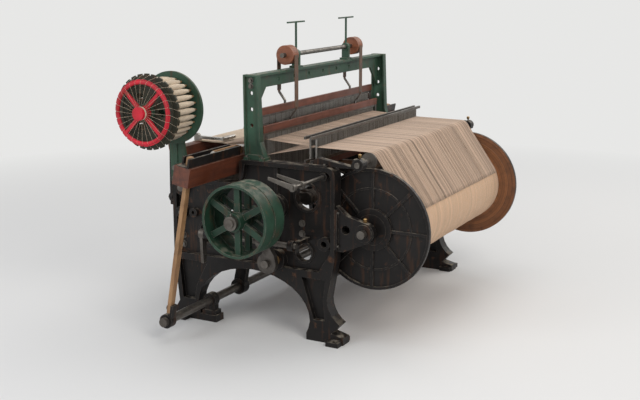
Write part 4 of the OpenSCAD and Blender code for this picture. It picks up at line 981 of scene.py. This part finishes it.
bobbins = Shape()
for i in range(BOBBINS):
    at = around(bobbin_low.x, ring_radius, math.tau * i / BOBBINS)
    bobbins.lathe(quill, at, 14, 0, chance.uniform(0, 1))
    full = chance.uniform(0.90, 1.0) * YARN_RADIUS
    end = chance.uniform(0.148, 0.155)
    bobbins.lathe(yarn_cone(full, end), at, 18, 1, chance.uniform(0, 1))
bobbin_piece = bobbins.piece("bobbins", [stick_wood, bobbin_yarn], "magazine", "yarn")
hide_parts("magazine_bobbins")

# %% [markdown]
# ## Thread ends at the magazine
# The end of every bobbin is drawn through a notch in the butt plate, over the rim of the red wheel
# and in to its hub, where the ends are wound into a thick bundle. Curves could carry them, but
# straight pulls with a few points over the rim are all that a tight thread needs. The wheel stands
# off the plate, so the threads form a wide open cone.

# %% Thread ends
END_RADIUS = 0.00055
RIM_BEHIND = 0.040
CAP_BEHIND = 0.018
BUNDLE_FOOT = 0.0238
BUNDLE_TURNS = 10
MOST_SLACK = 0.03

wheel_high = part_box("magazine_wheel")[1]
rim_reach = half_size("magazine_wheel").z
rim_x = wheel_high.x - RIM_BEHIND
ends = Shape()
for i in range(BOBBINS):
    at_bobbin = math.tau * i / BOBBINS
    at_notch = at_bobbin + math.pi / BOBBINS
    at_rim = at_bobbin + math.tau / BOBBINS
    slack = chance.uniform(-MOST_SLACK, MOST_SLACK)
    path = [around(bobbin_low.x + 0.146, ring_radius + 0.0150, at_bobbin),
            around(bobbin_high.x - 0.002, ring_radius + 0.034, at_notch),
            around(bobbin_high.x + 0.014, ring_radius + 0.034, at_notch),
            around(rim_x, rim_reach - 0.0030, at_rim),
            around(rim_x + 0.0055, rim_reach - 0.0073, at_rim),
            around(rim_x + 0.0100, rim_reach - 0.0150, at_rim),
            around(rim_x + 0.0140, 0.0310, at_rim + 0.15 + slack)]
    ends.thread(path, END_RADIUS)
bundle = [(rim_x + 0.0055, BUNDLE_FOOT)]
for k in range(BUNDLE_TURNS + 1):
    bulge = 0.0045 * math.sin(math.pi * k / BUNDLE_TURNS) + chance.uniform(0, 0.0012)
    bundle.append((rim_x + 0.0062 + k * 0.00145, 0.0285 + bulge))
bundle.append((wheel_high.x - CAP_BEHIND - 0.0005, BUNDLE_FOOT))
ends.lathe(bundle, (0, magazine_axis.y, magazine_axis.z), 40)
ends.piece("thread_ends", [bobbin_yarn], "magazine", "yarn")

# %% [markdown]
# ## Oil cups
# Every bearing of a loom is oiled by hand, through a small bronze cup on its top. A cylinder would
# do from far away. A turned profile with a lid costs little more, and small fittings like these
# tell how big the machine is.

# %% Oil cups
CUP = [(0.0042, -0.003), (0.0042, 0.006), (0.0075, 0.008), (0.0100, 0.012), (0.0104, 0.022),
       (0.0112, 0.0225), (0.0112, 0.0250), (0.0060, 0.0285), (0.0020, 0.0295)]
CUP_STEPS = 20
BEAM_BEARING_X, BEAM_BEARING_TOP = 0.735, 0.044
WHIP_BEARING_X, WHIP_BEARING_TOP = 0.731, 0.028


def oil_cup(shape, x, y, z, scale=1.0):
    """A turned cup with a lid, standing on a bearing."""
    shape.rings([[(x + scale * r * math.cos(a), y + scale * r * math.sin(a), z + scale * h)
                  for a in turn_in(CUP_STEPS)] for r, h in CUP])


cups = Shape()
bush_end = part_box("shaft_bushes")[1]
for s in (-1, 1):
    oil_cup(cups, s * (bush_end.x - 0.085), 0.0, bush_end.z, 0.8)
    oil_cup(cups, s * BEAM_BEARING_X, beam_axis.y, beam_axis.z + BEAM_BEARING_TOP)
    oil_cup(cups, s * WHIP_BEARING_X, whip_axis.y, whip_axis.z + WHIP_BEARING_TOP, 0.8)
cups.piece("oil_cups", [bronze], "frame", "bronze")

# %% [markdown]
# ## Set screws
# A square-headed screw holds each wheel on its shaft. It could be taken from a library of bolts,
# but a round neck and a square head are two short rows of rings. Each screw turns with its wheel,
# so it rides the wheel's own body.


# %% Set screws
def set_screw(shape, node, inset, axis, hub_radius, turn, size):
    """A square-headed screw that stands on the hub of a wheel, at an angle from +Y."""
    out = Vector((0, math.cos(turn), math.sin(turn)))
    side = Vector((0, -math.sin(turn), math.cos(turn)))
    ahead = Vector((1, 0, 0))
    foot = Vector((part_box(node)[0].x + inset, axis.y, axis.z)) + out * hub_radius

    def ring(radius, height, angles):
        return [foot + out * height + radius * (math.cos(a) * side + math.sin(a) * ahead) for a in angles]

    shape.rings([ring(0.6 * size, height, turn_in(8)) for height in (-0.003, 0.004)])
    corners = [a + math.tau / 8 for a in turn_in(4)]
    head = ((0.95 * size, 0.004), (1.15 * size, 0.0055), (1.15 * size, 0.013), (0.8 * size, 0.015))
    shape.rings([ring(radius, height, corners) for radius, height in head])


screws = Shape()
for node, inset, hub_radius, turn, size in (("tight_pulley", 0.012, 0.044, 1.1, 0.0065),
                                            ("handwheel", 0.011, 0.040, 1.9, 0.0065),
                                            ("crank_gear", 0.007, 0.038, 0.6, 0.005),
                                            ("pulley_collar", 0.0105, 0.030, math.pi / 2, 0.0045)):
    set_screw(screws, node, inset, crank_axis, hub_radius, turn, size)
screws.piece("set_screws", [dark_steel], "crank", "oiled_steel", smooth=False)
cam_screw = Shape()
set_screw(cam_screw, "cam_gear", 0.005, cam_axis, 0.044, 1.4, 0.0035)
cam_screw.piece("cam_gear_screw", [dark_steel], "cams", "oiled_steel", smooth=False)

# %% [markdown]
# ## The bobbin in the shuttle
# The shuttle carries one bobbin of weft in its hollow, and trails the thread through the shed. A
# plain cylinder would fill the hollow. A quill and a ridged cone follow the bobbins of the
# magazine, because it is one of them.

# %% Shuttle bobbin
WEFT_STEPS = 39
quill_start = shuttle_mid.x - shuttle_half.x + 0.052
quill_end = shuttle_mid.x + shuttle_half.x - 0.056
weft_start = quill_start + 0.018
weft_length = quill_end - quill_start - 0.046

weft = Shape()
axis = (0, shuttle_mid.y, shuttle_mid.z)
weft.lathe([(quill_start, 0.0040), (quill_start + 0.014, 0.0046), (quill_end - 0.026, 0.0068),
            (quill_end - 0.024, 0.0090), (quill_end - 0.001, 0.0090)], axis, 16, 0)
cone = []
for k in range(WEFT_STEPS + 1):
    t = k / WEFT_STEPS
    radius = 0.0050 + 0.0052 * min(1.0, 2.6 * t) - (0.0003 if k % 2 else 0.0)
    cone.append((weft_start + weft_length * t, radius))
weft.lathe(cone, axis, 20, 1)
weft.piece("shuttle_bobbin", [stick_wood, bobbin_yarn], "shuttle", "yarn")

# %% [markdown]
# ## The camera
# The photograph was taken standing behind the loom, near its pulley end, from about eye height. A
# camera that moves closer would change the perspective. It stands at that place and only its lens
# is longer, chosen so that the whole loom just fits in the picture.

# %% Camera at the photograph's place
PICTURE = (640, 400)
EYE = (5.105, 2.565, 1.807)
MARGIN = 1.05
AIM_ROUNDS = 4

camera_data = bpy.data.cameras.new("camera")
camera = bpy.data.objects.new("camera", camera_data)
bpy.context.scene.collection.objects.link(camera)
bpy.context.scene.camera = camera
camera.location = EYE
centre = (cad_low + cad_high) / 2
corners = [Vector((x, y, z)) for x in (cad_low.x, cad_high.x)
           for y in (cad_low.y, cad_high.y) for z in (cad_low.z, cad_high.z)]


def reach_in_view(target):
    """How far the corners of the object reach to each side of the view, as tangents."""
    turn = (target - camera.location).to_track_quat("-Z", "Y")
    seen = [turn.inverted() @ (corner - camera.location) for corner in corners]
    across = [p.x / -p.z for p in seen]
    upright = [p.y / -p.z for p in seen]
    return turn, (min(across), max(across)), (min(upright), max(upright))


target = centre.copy()
for _ in range(AIM_ROUNDS):
    turn, across, upright = reach_in_view(target)
    depth = (target - camera.location).length
    target += turn @ Vector((sum(across) / 2 * depth, sum(upright) / 2 * depth, 0))
turn, across, upright = reach_in_view(target)
camera.rotation_mode = "QUATERNION"
camera.rotation_quaternion = turn
half_view = MARGIN * max(across[1], upright[1] * PICTURE[0] / PICTURE[1])
camera_data.sensor_width = 36
camera_data.lens = camera_data.sensor_width / 2 / half_view
camera_data.clip_end = 60
print("lens", round(camera_data.lens, 1), "mm")

# %% [markdown]
# ## Floor and backdrop
# The loom stands on a pale floor that keeps its shadow and fades into an even backdrop. A curved
# paper sweep would cut off views from low down. The floor is flat and wide, and far from the loom
# it turns into the colour of the world, but only for rays that show it and not for the light.

# %% Floor that fades into the backdrop
PALE = (0.80, 0.80, 0.79)
FLOOR = (0.74, 0.735, 0.72, 1)
FADE_FROM, FADE_TO = 2.0, 5.5
FLOOR_REACH = 40


def shows_backdrop(tree):
    """1 for rays that show the backdrop: straight from the camera, mirrored, or through glass."""
    paths = add(tree, "LightPath")
    direct = calc(tree, "MAXIMUM", paths.outputs["Is Camera Ray"], paths.outputs["Is Transmission Ray"])
    return calc(tree, "MAXIMUM", direct, paths.outputs["Is Glossy Ray"])


ground, tree, shader = begin("pale ground")
shader.inputs["Base Color"].default_value = FLOOR
shader.inputs["Roughness"].default_value = 0.9
spot = add(tree, "TexCoord").outputs["Object"]
from_middle = add(tree, "VectorMath", {0: spot}, operation="LENGTH").outputs["Value"]
far_away = calc(tree, "MULTIPLY", ramp(tree, from_middle, FADE_FROM, FADE_TO), shows_backdrop(tree))
haze = add(tree, "Emission", {"Color": (*PALE, 1.0), "Strength": 1.0})
either = add(tree, "MixShader", {0: far_away, 1: shader.outputs[0], 2: haze.outputs[0]})
tree.links.new(either.outputs[0], tree.nodes["Material Output"].inputs["Surface"])
r = FLOOR_REACH
mesh = bpy.data.meshes.new("floor")
mesh.from_pydata([(x, y, cad_low.z) for x, y in ((-r, -r), (r, -r), (r, r), (-r, r))], [], [(0, 1, 2, 3)])
mesh.materials.append(ground)
floor = bpy.data.objects.new("floor", mesh)
bpy.context.scene.collection.objects.link(floor)
print("floor fades from", FADE_FROM, "to", FADE_TO, "m")

# %% [markdown]
# ## Light
# Black iron, green paint and pale yarn all have to be readable at once. Small hard lamps would
# give sharp black shadows. Four wide soft lamps and a pale world light the loom evenly, at a level
# at which a colour renders about as it is written.


# %% Lamps and world
def lamp(name, at, size, power, tint=(1, 1, 1)):
    data = bpy.data.lights.new(name, "AREA")
    data.shape = "DISK"
    data.size = size
    data.energy = power
    data.color = tint
    obj = bpy.data.objects.new(name, data)
    bpy.context.scene.collection.objects.link(obj)
    obj.location = at
    obj.rotation_mode = "QUATERNION"
    obj.rotation_quaternion = (Vector(at) - centre).to_track_quat("Z", "Y")
    print("lamp", name, power, "W")


lamp("key", (3.5, 4.5, 4.5), 3.0, 150, (1.0, 0.97, 0.93))
lamp("side", (5.0, -2.5, 3.0), 3.0, 75, (0.95, 0.97, 1.0))
lamp("top", (0.0, 0.0, 5.0), 4.0, 70)
lamp("far", (-4.0, 1.5, 3.5), 3.0, 60, (1.0, 0.96, 0.9))

world = bpy.data.worlds.new("world")
bpy.context.scene.world = world
world.use_nodes = True
sky = world.node_tree
glow = sky.nodes["Background"]
glow.inputs["Color"].default_value = (0.93, 0.95, 1.0, 1)
glow.inputs["Strength"].default_value = 0.5
plain = add(sky, "Background", {"Color": (*PALE, 1.0), "Strength": 1.0})
either = add(sky, "MixShader", {0: shows_backdrop(sky), 1: glow.outputs[0], 2: plain.outputs[0]})
sky.links.new(either.outputs[0], sky.nodes["World Output"].inputs["Surface"])

bpy.context.scene.view_settings.view_transform = "Standard"

# %% [markdown]
# The dressed loom must fill the same box as the CAD model. It could be compared by eye in two
# views, but a thread that stands out by a millimetre would be missed. The box of the CAD model is
# printed.

# %% Print the CAD box and finish
print("CAD box", [round(v, 3) for v in (*cad_low, *cad_high)])
